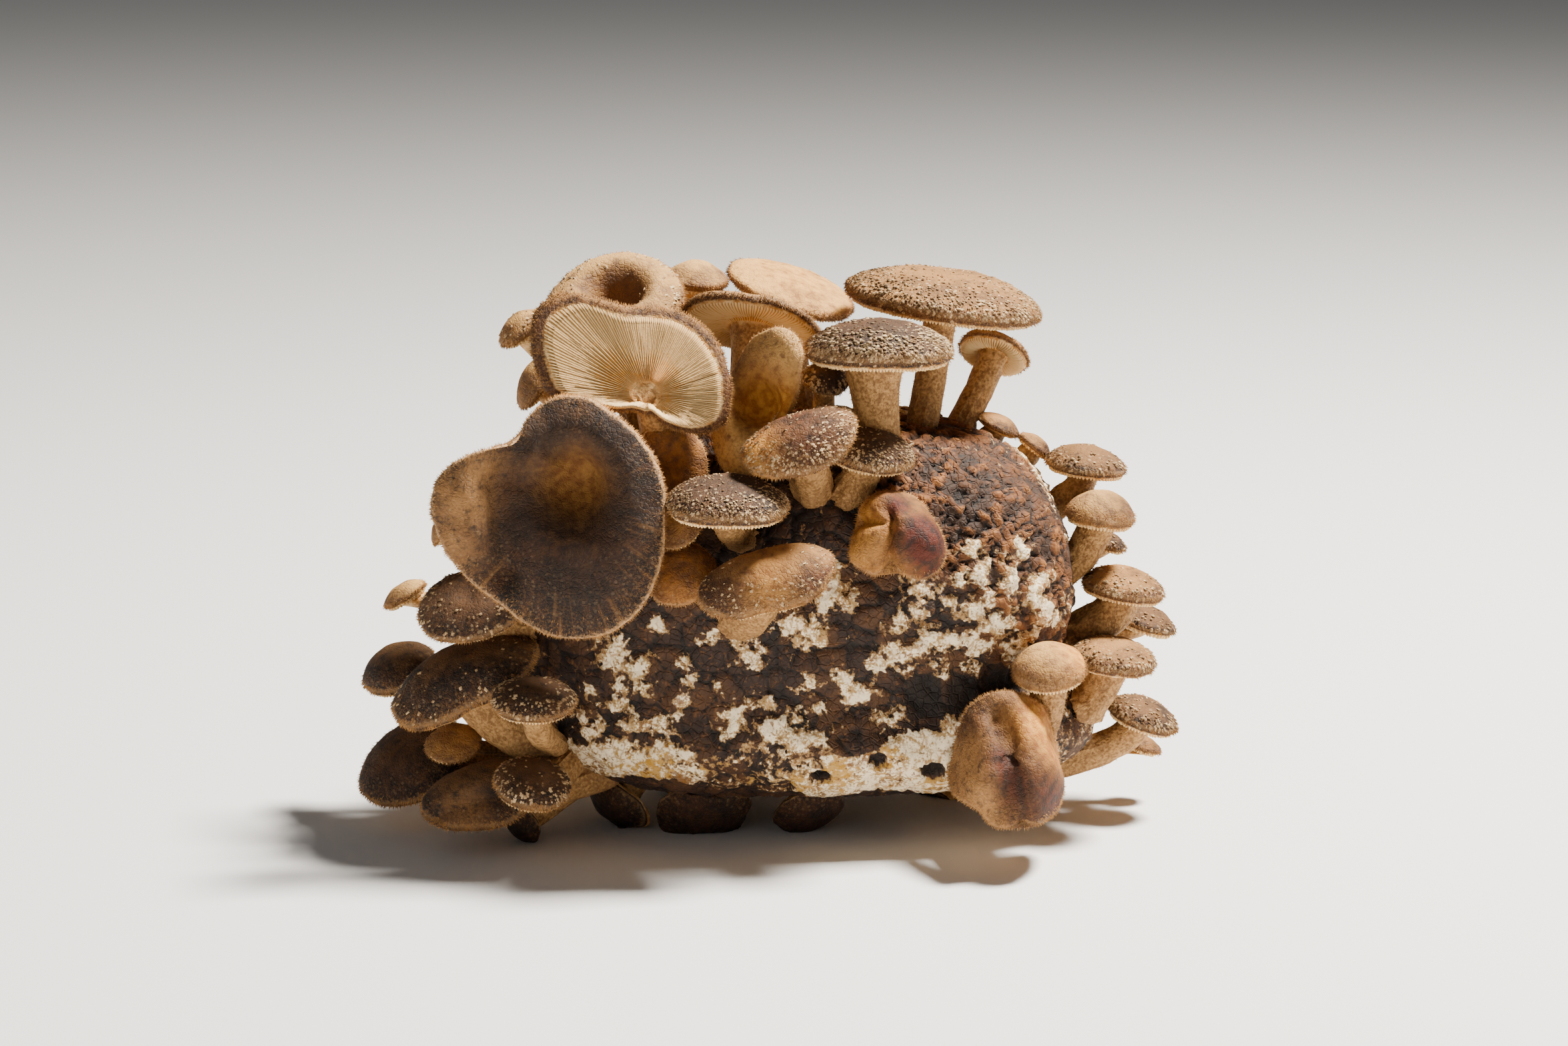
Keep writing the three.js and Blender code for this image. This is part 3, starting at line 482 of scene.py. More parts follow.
def cap_skin(name, sizes):
    """The smooth skin of one cap, with its stem where the two are one solid."""
    facing, kind, _, traits = MUSHROOMS[name]
    facing = Vector(facing).normalized()
    node = family(name)[0]
    shape = merged(node)
    rows, diagonals = rows_of(shape, facing)
    reach_of, root_of = (shape.verts.layers.float[layer] for layer in ("reach", "root"))
    whole = name not in SPLIT
    rest = ROOT if whole else STEM
    numbers = steps_from(shape, rows, [n for n in REACH[kind] if n < rest] + [rest])
    for vertex in shape.verts:
        vertex[reach_of] = numbers.get(vertex, rest)
        vertex[root_of] = 1.0 if whole and numbers.get(vertex, rest) == ROOT else 0.0
    places = [np.array([v.co for v in row]) for row in rows]
    bmesh.ops.dissolve_edges(shape, edges=diagonals)
    piece = smoothed(node, shape, traits.get("level", 3))
    mesh = piece.data

    rim_row = REACH[kind].index(RIM)
    rim = places[rim_row] if len(places) > rim_row else places[-1]
    centre = rim.mean(axis=0)
    axis = np.array(facing)
    across = np.array([1.0, 0, 0]) - axis[0] * axis
    across /= np.linalg.norm(across)
    away = np.cross(axis, across)
    place, normal = read(mesh), read(mesh, "normal")
    reach, root = read(mesh, "reach"), read(mesh, "root")
    from_centre = place - centre
    angle = np.arctan2(from_centre @ away, from_centre @ across)
    points = place / MM
    if whole and len(places) > rim_row + 2:
        place += down_stem(places, -2, root, sizes)[1]

    out = (1 - step(reach, RIM, 1.2)) * sizes.lumps * lumps(points, TOP_LUMPS)
    out += bump(reach, 1.05, 0.16) * sizes.lumps * lumps(points, BRIM_LUMPS)
    out += step(reach, 1.9, 2.2) * sizes.lumps * lumps(points, STALK_LUMPS)
    out -= top_relief(points, axis, reach, traits)
    move(mesh, place + normal * (out * (1 - root))[:, None])

    def same(value):
        return np.full(len(points), value)

    paint(
        mesh,
        sky=same(0.0) if name.startswith("under") else np.clip(normal[:, 2], -1, 1),
        pale=same(traits.get("pale", 0.3)),
        start=same(traits.get("start", sizes.gill_start)),
        spoke=np.stack([np.cos(angle) * RAYS, np.sin(angle) * RAYS, reach * 1.6], axis=1),
        **patches_of(points, axis, traits),
        streaks=same(traits.get("streaks", 0.25)),
        edge=same(traits.get("edge", 0.3)),
        scaly=same(min(1.0, traits.get("scales", 60) / 500)),
    )
    SKINS[name] = {
        "piece": piece, "rows": places, "centre": centre, "facing": axis,
        "numbers": REACH[kind], "whole": whole, "traits": traits,
    }
    return piece


def stem_skin(name, sizes):
    """The smooth skin of a stem that is a solid of its own."""
    node = f"{name}_stem"
    shape = merged(node)
    facing = Vector(MUSHROOMS[name][0]).normalized()
    rows, diagonals = rows_of(shape, facing)
    low = min(v.co.z for v in shape.verts)
    high = max(v.co.z for v in shape.verts)
    reach_of, root_of = (shape.verts.layers.float[layer] for layer in ("reach", "root"))
    upper = {vertex for row in rows[:4] for vertex in row}
    for vertex in shape.verts:
        vertex[reach_of] = ROOT - (vertex.co.z - low) / (high - low)
        vertex[root_of] = 0.0 if vertex in upper else 1.0
    places = [np.array([v.co for v in row]) for row in rows]
    bmesh.ops.dissolve_edges(shape, edges=diagonals)
    piece = smoothed(node, shape, 3)
    mesh = piece.data
    place, normal, root = read(mesh), read(mesh, "normal"), read(mesh, "root")
    points = place / MM
    down, sunk = down_stem(places, 0, root, sizes)
    place += sunk
    # The top goes a little way up into the cap, behind the gills.
    top = 1 - step((high - points[:, 2] * MM) / (high - low), 0, 0.12)
    place -= down * (top * 0.4 * sizes.tuck)[:, None]
    out = sizes.lumps * lumps(points, LONE_STALK_LUMPS)
    move(mesh, place + normal * (out * (1 - root))[:, None])
    none = np.zeros(len(points))
    paint(
        mesh, sky=normal[:, 2], spoke=points / 4, pale=none + 0.4, scaly=none + 0.3, start=none + RIM,
        streaks=none, edge=none, **dict.fromkeys(PATCHES, none))
    SKINS[f"{name}_stem"] = {"piece": piece, "traits": MUSHROOMS[name][3], "stem_only": True}
    return piece


def around(row, turns):
    """Points at even turns, from 0 to 1, on a smooth loop through a row's points."""
    count = len(row)
    place = (turns % 1) * count
    first = np.floor(place).astype(int)
    part = (place - first)[:, None]
    a, b, c, d = (row[(first + k) % count] for k in (-1, 0, 1, 2))
    return b + 0.5 * part * (c - a + part * (2 * a - 5 * b + 4 * c - d + part * (3 * (b - c) + d - a)))


def gill_sheet(name, sizes):
    """A pleated sheet over the underside of a cap: one pleat for every gill, every other one short."""
    skin = SKINS[name]
    numbers, rows = skin["numbers"], skin["rows"]
    rim = numbers.index(RIM)
    if len(rows) < rim + 3:
        return None
    stops = [number for number in numbers[rim:] if number <= STEM][: len(rows) - rim]
    loops = [rows[rim + k] for k in range(len(stops))]
    if not skin["whole"]:
        middle = np.repeat([loops[-1].mean(axis=0)], len(loops[0]), axis=0)
        loops, stops = loops + [middle], stops + [STEM]
    if len(stops) < 3:
        return None
    edge = loops[1]
    length = np.linalg.norm(edge - np.roll(edge, 1, axis=0), axis=1).sum()
    spacing = skin["traits"].get("gills", sizes.gill_spacing / MM) * MM
    gills = max(24, 2 * round(length / spacing / 2))
    along = skin["traits"].get("steps", 9)
    shape = bmesh.new()
    bmesh.ops.create_grid(shape, x_segments=2 * gills, y_segments=along, size=1)
    grid = np.array([v.co for v in shape.verts])
    column = np.rint((grid[:, 0] + 1) / 2 * 2 * gills).astype(int)
    inward = (grid[:, 1] + 1) / 2
    first = skin["traits"].get("start", sizes.gill_start)
    last = 1.98 if skin["whole"] else 1.8
    reach = first + (last - first) * inward
    turns = (column % (2 * gills)) / (2 * gills)
    flat = inward * 0
    turns = turns + 0.25 / gills * ripple(np.stack([column // 2 * 7.3, inward * 2, flat], axis=1), 1, 11)
    laid = np.stack([around(loop, turns) for loop in loops])
    upper = np.clip(np.searchsorted(stops, reach), 1, len(stops) - 1)
    low, high = np.array(stops)[upper - 1], np.array(stops)[upper]
    share = ((reach - low) / (high - low))[:, None]
    pick = np.arange(len(reach))
    place = laid[upper - 1, pick] * (1 - share) + laid[upper, pick] * share
    tree = tree_of(skin["piece"].data)
    ground = np.empty_like(place)
    outward = np.empty_like(place)
    for index, point in enumerate(place):
        spot, normal, _, _ = tree.find_nearest(point)
        ground[index], outward[index] = spot, normal
    crest = column % 2
    short = (column // 2) % 2
    fade = np.where(short == 1, 1 - step(inward, 0.35, 0.75), 1.0)
    ends = step(inward, 0.0, 0.06) * (1 - step(inward, 0.95, 1.0))
    ragged = 1 + 0.3 * ripple(np.stack([column // 2 * 3.7, inward * 6, flat], axis=1), 1, 12)
    height = sizes.gill_height * np.minimum(1, length / MM / 60)
    lift = (0.12 * MM + crest * fade * ragged * height) * ends - 0.25 * MM * (1 - ends)
    place = ground + outward * lift[:, None]
    for vertex, spot in zip(shape.verts, place):
        vertex.co = spot
    fin, far = shape.verts.layers.float.new("fin"), shape.verts.layers.float.new("reach")
    for vertex, value, number in zip(shape.verts, crest * fade, reach):
        vertex[fin], vertex[far] = value, number
    bmesh.ops.remove_doubles(shape, verts=shape.verts, dist=GLUE)
    shape.normal_update()
    agree = sum(face.normal.dot(Vector(tree.find_nearest(face.calc_center_median())[1]))
                for face in list(shape.faces)[:: max(1, len(shape.faces) // 60)])
    if agree < 0:
        bmesh.ops.reverse_faces(shape, faces=shape.faces)
    sheet = bpy.data.meshes.new(f"{name}_gills")
    shape.to_mesh(sheet)
    shape.free()
    return link(f"{name}_gills", sheet)


def spots_on(mesh, count, weight, rng):
    """Scattered places on a mesh of four-sided faces: where they are, and which way is out."""
    faces = len(mesh.polygons)
    corners = np.empty(faces * 4, dtype=int)
    mesh.polygons.foreach_get("vertices", corners)
    corners = corners.reshape(-1, 4)
    area, out = np.empty(faces), np.empty(faces * 3)
    mesh.polygons.foreach_get("area", area)
    mesh.polygons.foreach_get("normal", out)
    reach = read(mesh, "reach")[corners].mean(axis=1)
    chance = area * weight(reach)
    total = chance.sum()
    if total <= 0:
        return None
    chosen = rng.choice(faces, size=count, p=chance / total)
    a, b, c, d = (read(mesh)[corners[chosen, k]] for k in range(4))
    u, v = rng.random((2, count, 1))
    place = (a * (1 - u) + b * u) * (1 - v) + (d * (1 - u) + c * u) * v
    return place, out.reshape(-1, 3)[chosen]


def unit(vectors):
    """Each vector with a length of one."""
    return vectors / np.maximum(np.linalg.norm(vectors, axis=1), 1e-9)[:, None]


def flakes(places, out, lean, length, rng):
    """Curled flakes of skin: each is a small wedge, rooted uphill, whose free edge stands proud."""
    count = len(places)
    forward = unit(lean - out * np.einsum("ij,ij->i", lean, out)[:, None])
    swing = (rng.random(count) - 0.5)[:, None] * 1.1
    side = np.cross(out, forward)
    forward = unit(forward + side * swing)
    side = np.cross(out, forward)
    size = (0.55 + 0.9 * rng.random(count) ** 1.6)[:, None]
    width = length * FLAKE_WIDTH * size * (0.7 + 0.6 * rng.random((count, 1)))
    length, lift = length * size, FLAKE_LIFT * size
    back = places - forward * length * 0.5 - out * SUNK
    front = places + forward * length * 0.5 + out * lift
    points = np.stack([
        back - side * width * 0.5, back + side * width * 0.5,
        front + side * width * 0.35, front - side * width * 0.42,
        front - forward * length * 0.2 - out * (lift + SUNK),
    ], axis=1)
    pattern = np.array([[0, 3, 2], [0, 2, 1], [3, 4, 2], [0, 4, 3], [1, 2, 4]])
    faces = (np.arange(count)[:, None, None] * 5 + pattern).reshape(-1, 3)
    return points.reshape(-1, 3), faces


def hairs(places, out, lean, length, width, rng):
    """Felt: each hair is a thin three-sided spike that leans a little."""
    count = len(places)
    tip = unit(out + lean + 0.55 * (rng.random((count, 3)) - 0.5))
    side = unit(np.cross(out, tip + 0.01))
    other = np.cross(out, side)
    size = (0.5 + rng.random((count, 1)))
    foot = places - out * 0.1 * MM
    points = np.stack([
        foot + side * width, foot - side * width * 0.5 + other * width * 0.87,
        foot - side * width * 0.5 - other * width * 0.87, places + tip * length * size,
    ], axis=1)
    pattern = np.array([[0, 1, 3], [1, 2, 3], [2, 0, 3]])
    faces = (np.arange(count)[:, None, None] * 4 + pattern).reshape(-1, 3)
    return points.reshape(-1, 3), faces


def stem_hairs(mesh, count, sizes, rng):
    """Felt on the stem of a skin, if it has one."""
    found = spots_on(mesh, count, lambda reach: (reach > 2.02) * 1.0, rng)
    return [hairs(*found, found[1] * 0, sizes.hair, HAIR_WIDTH, rng)] if found else []


def cap_flakes(skin, sizes, rng):
    """Flakes on a cap, thicker towards its rim."""
    traits = skin["traits"]
    if not traits.get("scales"):
        return []
    place, out = spots_on(
        skin["piece"].data, traits["scales"],
        lambda reach: (reach < 1.06) * (0.1 + step(reach, 0.3, 1.05) ** 1.6), rng)
    return [flakes(place, out, place - skin["centre"], sizes.flake * traits.get("flake", 1.0), rng)]


def rim_hairs(skin, sizes, rng):
    """The fringe round a cap's rim."""
    mesh = skin["piece"].data
    area = sum(face.area for face in mesh.polygons) / MM ** 2
    count = int(min(FRINGE_MOST, area * FRINGE_DENSITY))
    found = spots_on(mesh, count, lambda reach: bump(reach, 1.06, 0.09), rng)
    if not found:
        return []
    lean = unit(found[0] - skin["centre"]) * 0.6 - skin["facing"] * 0.7
    return [hairs(*found, lean, FRINGE_LENGTH * sizes.hair, FRINGE_WIDTH, rng)]


def joined(name, parts):
    """One piece from several sets of corners and faces."""
    start, corners, faces = 0, [], []
    for points, these in parts:
        corners.append(points)
        faces.append(these + start)
        start += len(points)
    mesh = bpy.data.meshes.new(name)
    mesh.from_pydata(np.concatenate(corners).tolist(), [], np.concatenate(faces).tolist())
    return link(name, mesh)


# ---------------------------------------------------------------- the log
#
# Places on its front face are across and up, in mm.

MYCELIUM = [  # white patches: across, up, radius
    (75, 80, 9), (66, 81, 6), (50, 78, 8), (58, 83, 5), (83, 87, 7), (72, 71, 6), (62, 68, 5),
    (85, 108, 5), (73, 115, 4), (87, 102, 5), (97, 101, 5), (76, 107, 5), (103, 87, 7), (74, 93, 6),
    (21, 101, 9), (9, 103, 5), (54, 102, 7), (52, 94, 5), (9, 88, 7), (10, 82, 5), (18, 82, 4),
    (44, 80, 6), (38, 74, 4.5), (-57, 76, 8), (-48, 71, 6), (-7, 77, 6), (-10, 82, 4.5), (-47, 64, 5),
    (-54, 65, 4), (-39, 52, 6.5), (-55, 57, 5), (-49, 49, 6), (13, 66, 5), (27, 69, 5), (32, 61, 6),
    (42, 53, 4.5), (-4, 59, 5), (-13, 52, 6), (3, 50, 9), (11, 44, 9), (-2, 46, 7), (-66, 48, 6),
    (90, 76, 6), (95, 95, 4), (64, 96, 4), (68, 104, 4), (92, 114, 4), (47, 88, 4), (-22, 84, 4),
    (-40, 88, 4), (-62, 90, 5), (-33, 60, 3.5), (-20, 66, 3), (60, 76, 6), (80, 96, 5),
]
CELLS = [(-31, 74), (-29.5, 67.6), (-68.8, 52), (17, 57.4), (-66, 62)]  # ringed cells on the front
CELL_RADIUS = 3.6
# The holes are sunk in and darkened as painted shade.
HOLES = [(59, 32, 5.2, 1.0), (18, 31, 4.0, 1.0), (39, 38, 4.2, 0.5)]  # across, up, radius, depth
STAINS = [  # across, up, radius
    (-43, 33, 11), (-8, 29, 9), (40, 39, 8), (23, 32, 9), (7, 27, 9), (-20, 36, 6), (60, 26, 6),
    (74, 34, 5),
]
# The hollow is sunk in and darkened as painted shade.
RECESS = [(56, 62, 11), (70, 61, 12), (84, 62, 11)]  # the shaded hollow: across, up, radius
HOLE_DEPTH, RECESS_DEPTH, RING_HEIGHT = 4.5, 3.5, 0.5


def log_fields(points, front):
    """What covers each point of the log: white mycelium, stains, chips, holes and hollows."""
    x, z = points[:, 0], points[:, 2]
    flat = np.stack([x, z], axis=1)

    def nearest(spots, falloff):
        value = np.zeros(len(points))
        for across, up, radius in spots:
            far = np.linalg.norm(flat - (across, up), axis=1) / radius
            value = np.maximum(value, falloff(far))
        return value * front

    ragged = 0.5 * ripple(points, 4.6, 23) + 0.45 * ripple(points, 2.2, 24)
    patch = nearest(MYCELIUM, lambda far: np.clip(0.76 - 0.44 * far, 0, 1)) + 0.62 * ragged
    wild = 0.31 + 0.3 * ripple(points, 19, 25) + 0.2 * ripple(points, 8, 26) + 0.45 * ragged
    wild_here = np.where(front > 0, 1 - front, 1)
    under = 26 + 4 * ripple(points, 21, 27) + 7 * (1 - step(x, -34, -20))
    over = 40 + 0.28 * np.maximum(x - 24, 0) + 4 * (1 - step(x, -40, -28))
    over += 4 * ripple(points, 11, 28) + 2.5 * ripple(points, 4, 34)
    wander = x + 9 * ripple(points, 12, 32) + 5 * ripple(points, 5, 33)
    solid = 0.42 + 0.58 * step(wander, 2, 26) * (1 - step(x, 88, 100))
    solid += 0.43 * (1 - step(wander, -42, -26))
    lip = solid * step(z, under - 6, under - 2) * (1 - step(z, over - 3, over + 3))
    lip_value = lip * (0.62 + 0.5 * ragged) + 0.2 * lip
    white = np.maximum(np.maximum(patch * (front > 0.3), wild * wild_here), lip_value)

    chips = step(x - 50 + (z - 112) * 0.9 + 8 * ripple(points, 17, 29), -8, 12) * front
    chips = np.maximum(chips, wild_here * step(ripple(points, 40, 30), -0.1, 0.3))
    chips = np.maximum(chips, step(z, 138, 150))
    stain = nearest(STAINS, lambda far: bump(far, 0, 0.95)) + 0.35 * ragged * lip
    stain = np.clip(stain + wild_here * lip * 0.4 * step(ripple(points, 13, 31), 0, 0.6), 0, 1)
    pit = np.zeros(len(points))
    for across, up, radius, depth in HOLES:
        far = np.linalg.norm((flat - (across, up)) * (1, 1.25), axis=1) / radius
        pit = np.maximum(pit, depth * (1 - step(far, 0.75, 1.05)) * front)
    ring = np.zeros(len(points))
    disc = np.zeros(len(points))
    for across, up in CELLS:
        far = np.linalg.norm(flat - (across, up), axis=1) / CELL_RADIUS
        disc = np.maximum(disc, (1 - step(far, 0.55, 0.7)) * front)
        ring = np.maximum(ring, bump(far, 1.0, 0.2) * front)
    recess = nearest(RECESS, lambda far: bump(far, 0, 0.75))
    white = np.where(disc + ring > 0.2, 0.3 + 0.4 * disc, white)
    # Painted shade: the mycelium is left out of the holes and the hollow, so that they show dark.
    white = white * (1 - 0.9 * step(pit, 0.3, 0.6)) * (1 - 0.8 * step(recess, 0.35, 0.7))
    return {"white": white, "stain": stain, "chips": chips, "pit": pit, "ring": ring, "recess": recess}


def log_skin(sizes):
    """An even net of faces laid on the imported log's own smoothed surface."""
    shape = merged("log")
    _, diagonals = rows_of(shape, Vector((0, 0, 1)))
    bmesh.ops.dissolve_edges(shape, edges=diagonals)
    guide = smoothed("log_guide", shape, 3)
    mesh = guide.data
    tree = tree_of(mesh)
    low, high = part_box("log")
    centre = (Vector(low) + Vector(high)) / 2
    half = (Vector(high) - Vector(low)) / 2
    ball = bmesh.new()
    bmesh.ops.create_uvsphere(ball, u_segments=sizes.around, v_segments=sizes.upward, radius=1)
    stretch = Vector([math.sqrt(half[k] / half[1]) for k in range(3)])
    for vertex in ball.verts:
        way = (vertex.co * stretch).normalized()
        spot, _, _, _ = tree.ray_cast(centre + way, -way)
        vertex.co = spot
    bmesh.ops.recalc_face_normals(ball, faces=ball.faces)
    skin = bpy.data.meshes.new("log_crust")
    ball.to_mesh(skin)
    ball.free()
    bpy.data.objects.remove(guide)
    bpy.data.meshes.remove(mesh)
    return skin


def build_log(sizes, colours):
    """The log, with its plates, chips and mycelium in relief."""
    skin = log_skin(sizes)
    piece = link("log_crust", skin)
    place, normal = read(skin), read(skin, "normal")
    points = place / MM
    front = step(-normal[:, 1], 0.1, 0.45)
    field = log_fields(points, front)
    white, chips = step(field["white"], 0.42, 0.56), field["chips"]
    near, beyond, own = pebbles(points, sizes.plate / MM, 41)
    plate_crack = 1 - step(beyond - near, 0.02, 0.16)
    bent = points + 1.8 * ripple(points, 4, 42)[:, None]
    near_chip, beyond_chip, own_chip = pebbles(bent, sizes.chip / MM, 43)
    chip_crack = 1 - step(beyond_chip - near_chip, 0.04, 0.16)
    bark = lumps(points, ((0.75, 8, 44), (0.35, 3, 45))) - plate_crack + 0.5 * (own - 0.5)
    crumbs = 0.7 * (1 - near_chip ** 3) - 0.4 - 1.5 * chip_crack + 1.5 * (own_chip - 0.5)
    crumbs += 0.4 * ripple(points, 2, 48)
    crust = bark * (1 - chips) + crumbs * chips
    felt = 0.8 + lumps(points, ((0.85, 3.2, 46), (0.5, 7, 47), (0.5, 1.5, 49)))
    out = crust * (1 - 0.65 * white) + felt * white * 0.9
    out -= HOLE_DEPTH * step(field["pit"], 0.2, 0.9) + RECESS_DEPTH * field["recess"]
    out += RING_HEIGHT * field["ring"]
    move(skin, place + normal * (out * sizes.relief)[:, None])
    paint(
        skin, white=field["white"], stain=field["stain"], chips=chips,
        # The holes and the hollow, which the material darkens as painted shade.
        pit=np.maximum(field["pit"], 0.8 * field["recess"]),
        crack=plate_crack * (1 - chips) + chip_crack * chips,
        own=own * (1 - chips) + own_chip * chips,
        height=np.clip(crust * 0.3 + 0.5, 0, 1),
    )
    finished(piece, log_material(colours), "log_crust", "log")


# ---------------------------------------------------------------- materials


class Value:
    """A number that varies over a surface. Arithmetic on it adds the nodes."""

    def __init__(self, finish, socket):
        self.finish, self.socket = finish, socket

    def __add__(self, other):
        return self.finish.maths("ADD", self, other)

    def __sub__(self, other):
        return self.finish.maths("SUBTRACT", self, other)

    def __mul__(self, other):
        return self.finish.maths("MULTIPLY", self, other)

    def __rsub__(self, other):
        return self.finish.maths("SUBTRACT", other, self)

    __radd__ = __add__
    __rmul__ = __mul__


class Finish:
    """A material being put together, node by node."""

    def __init__(self, name):
        self.material = bpy.data.materials.new(name)
        self.material.use_nodes = True
        self.tree = self.material.node_tree
        self.tree.nodes.clear()
        self.object_place = self.node("ShaderNodeTexCoord").outputs["Object"]

    def node(self, kind, settings=None, sockets=None):
        """Adds a node: its settings first, then the values or links of its sockets."""
        made = self.tree.nodes.new(kind)
        for name, value in (settings or {}).items():
            setattr(made, name, value)
        for name, value in (sockets or {}).items():
            socket = made.inputs[name]
            value = value.socket if isinstance(value, Value) else value
            if isinstance(value, bpy.types.NodeSocket):
                self.tree.links.new(value, socket)
            else:
                socket.default_value = value
        return made

    def maths(self, operation, *values):
        """Arithmetic on numbers and values."""
        made = self.node("ShaderNodeMath", {"operation": operation}, dict(enumerate(values)))
        return Value(self, made.outputs[0])

    def value(self, name):
        """A number stored on the piece."""
        return Value(self, self.node("ShaderNodeAttribute", {"attribute_name": name}).outputs["Fac"])

    def vector(self, name):
        """A vector stored on the piece."""
        return self.node("ShaderNodeAttribute", {"attribute_name": name}).outputs["Vector"]

    def noise(self, size, detail=2.0, place=None):
        """Soft noise from 0 to 1, with lumps of that size in mm, or in the units of the place given."""
        scale = 1 / size if place else 1 / (size * MM)
        made = self.node("ShaderNodeTexNoise", None, {
            "Vector": place or self.object_place, "Scale": scale, "Detail": detail})
        return Value(self, made.outputs["Fac"])

    def cells(self, size, feature="F1"):
        """Distance in a pattern of cells of that size in mm, in parts of a cell."""
        made = self.node("ShaderNodeTexVoronoi", {"feature": feature}, {
            "Vector": self.object_place, "Scale": 1 / (size * MM)})
        return Value(self, made.outputs["Distance"])

    def rise(self, value, low, high):
        """0 below low and 1 above high, or the other way round if low is more than high."""
        ends = {"From Min": low, "From Max": high} if low < high else {
            "From Min": high, "From Max": low, "To Min": 1.0, "To Max": 0.0}
        made = self.node(
            "ShaderNodeMapRange", {"interpolation_type": "SMOOTHSTEP"}, {"Value": value, **ends})
        return Value(self, made.outputs["Result"])

    def blend(self, share, first, second):
        """From the first colour to the second as share goes from 0 to 1."""
        made = self.node("ShaderNodeMix", {"data_type": "RGBA"}, {
            "Factor": share, 6: self.colour(first), 7: self.colour(second)})
        return made.outputs[2]

    @staticmethod
    def colour(value):
        """A colour for a socket: a link stays a link, and three numbers get a fourth."""
        return value if isinstance(value, bpy.types.NodeSocket) else (*value[:3], 1.0)

    def done(self, colour, roughness, height, depth, **constants):
        """Joins colour, roughness and relief up to the shader."""
        relief = self.node(
            "ShaderNodeBump", None, {"Strength": 1.0, "Distance": depth * MM, "Height": height})
        shader = self.node("ShaderNodeBsdfPrincipled", None, {
            "Base Color": self.colour(colour), "Roughness": roughness, "Normal": relief.outputs[0],
            **constants})
        self.node("ShaderNodeOutputMaterial", None, {"Surface": shader.outputs[0]})
        return self.material


def kept(name, make):
    """A material by name, made the first time."""
    return bpy.data.materials.get(name) or make(name)


def log_material(colours):
    """Dark cracked skin, red-brown chips with painted highlight on their raised tops, white mycelium
    with tan edges, yellow stains, and painted shade in the holes and the hollow.
    """

    def make(name):
        f = Finish(name)
        white, chips, own = f.value("white"), f.value("chips"), f.value("own")
        fine, grain = f.noise(2.6, 3), f.noise(0.9, 2)
        plates = f.rise(f.noise(9, 3) + own * 0.4 - 0.2, 0.35, 0.75)
        bark = f.blend(plates, colours.bark_dark, colours.bark)
        bark = f.blend(f.rise(fine * 0.6 + grain * 0.4, 0.52, 0.68) * 0.5, bark, colours.bark_worn)
        chip = f.blend(f.rise(own, 0.1, 0.9), colours.chip_dark, colours.chip)
        # Painted highlight: the raised chips are lighter, where the light would catch their tops.
        crest = f.rise(f.value("height") + (fine - 0.5) * 1.4, 0.55, 0.95)
        chip = f.blend(crest * 0.8, chip, colours.chip_highlight)
        base = f.blend(chips, bark, chip)
        crack = f.rise(f.value("crack") + grain * 0.3 - 0.15, 0.35, 0.85)
        base = f.blend(crack * 0.85, base, colours.crack)
        ragged = white + (f.noise(2.2, 4) - 0.5) * 1.2
        ragged = ragged + (grain - 0.5) * 0.25 + (f.noise(5, 2) - 0.5) * 0.4
        halo = f.rise(ragged, 0.36, 0.47) * f.rise(ragged, 0.62, 0.5)
        base = f.blend(halo * 0.75, base, colours.halo)
        cover = f.rise(ragged, 0.47, 0.53)
        shade = f.rise(f.noise(4, 4) + (grain - 0.5) * 0.8 + (ragged - 0.75) * 0.5, 0.3, 0.56)
        mycelium = f.blend(shade, colours.mycelium_grey, colours.mycelium)
        seam = f.rise(f.cells(3.4, "DISTANCE_TO_EDGE") + (fine - 0.5) * 0.25, 0.12, 0.0)
        seam = seam * f.rise(f.noise(7, 2), 0.45, 0.6)
        mycelium = f.blend(seam * 0.75, mycelium, colours.halo)
        yellow = f.rise(f.value("stain") + (f.noise(2.4, 5) - 0.5) * 3.2, 0.4, 0.9)
        mycelium = f.blend(yellow * 0.85, mycelium, colours.stain)
        dirt = f.rise(f.noise(1.6, 4) + (f.noise(11, 2) - 0.5) * 0.9, 0.6, 0.7)
        mycelium = f.blend(dirt * 0.8, mycelium, colours.chip)
        base = f.blend(cover, base, mycelium)
        # Painted shade: the holes and the hollow are darkened to the colour of the cracks.
        base = f.blend(f.rise(f.value("pit"), 0.25, 0.6) * 0.88, base, colours.crack)
        rough = 0.76 + cover * 0.12 + (grain - 0.5) * 0.2
        lump = f.rise(f.cells(3.2, "DISTANCE_TO_EDGE"), 0.0, 0.12)
        height = fine * 0.6 + grain * 0.4 + lump * 0.35 * (1 - cover)
        return f.done(base, rough, height, 0.8, IOR=1.45)

    return kept("Log Crust", make)


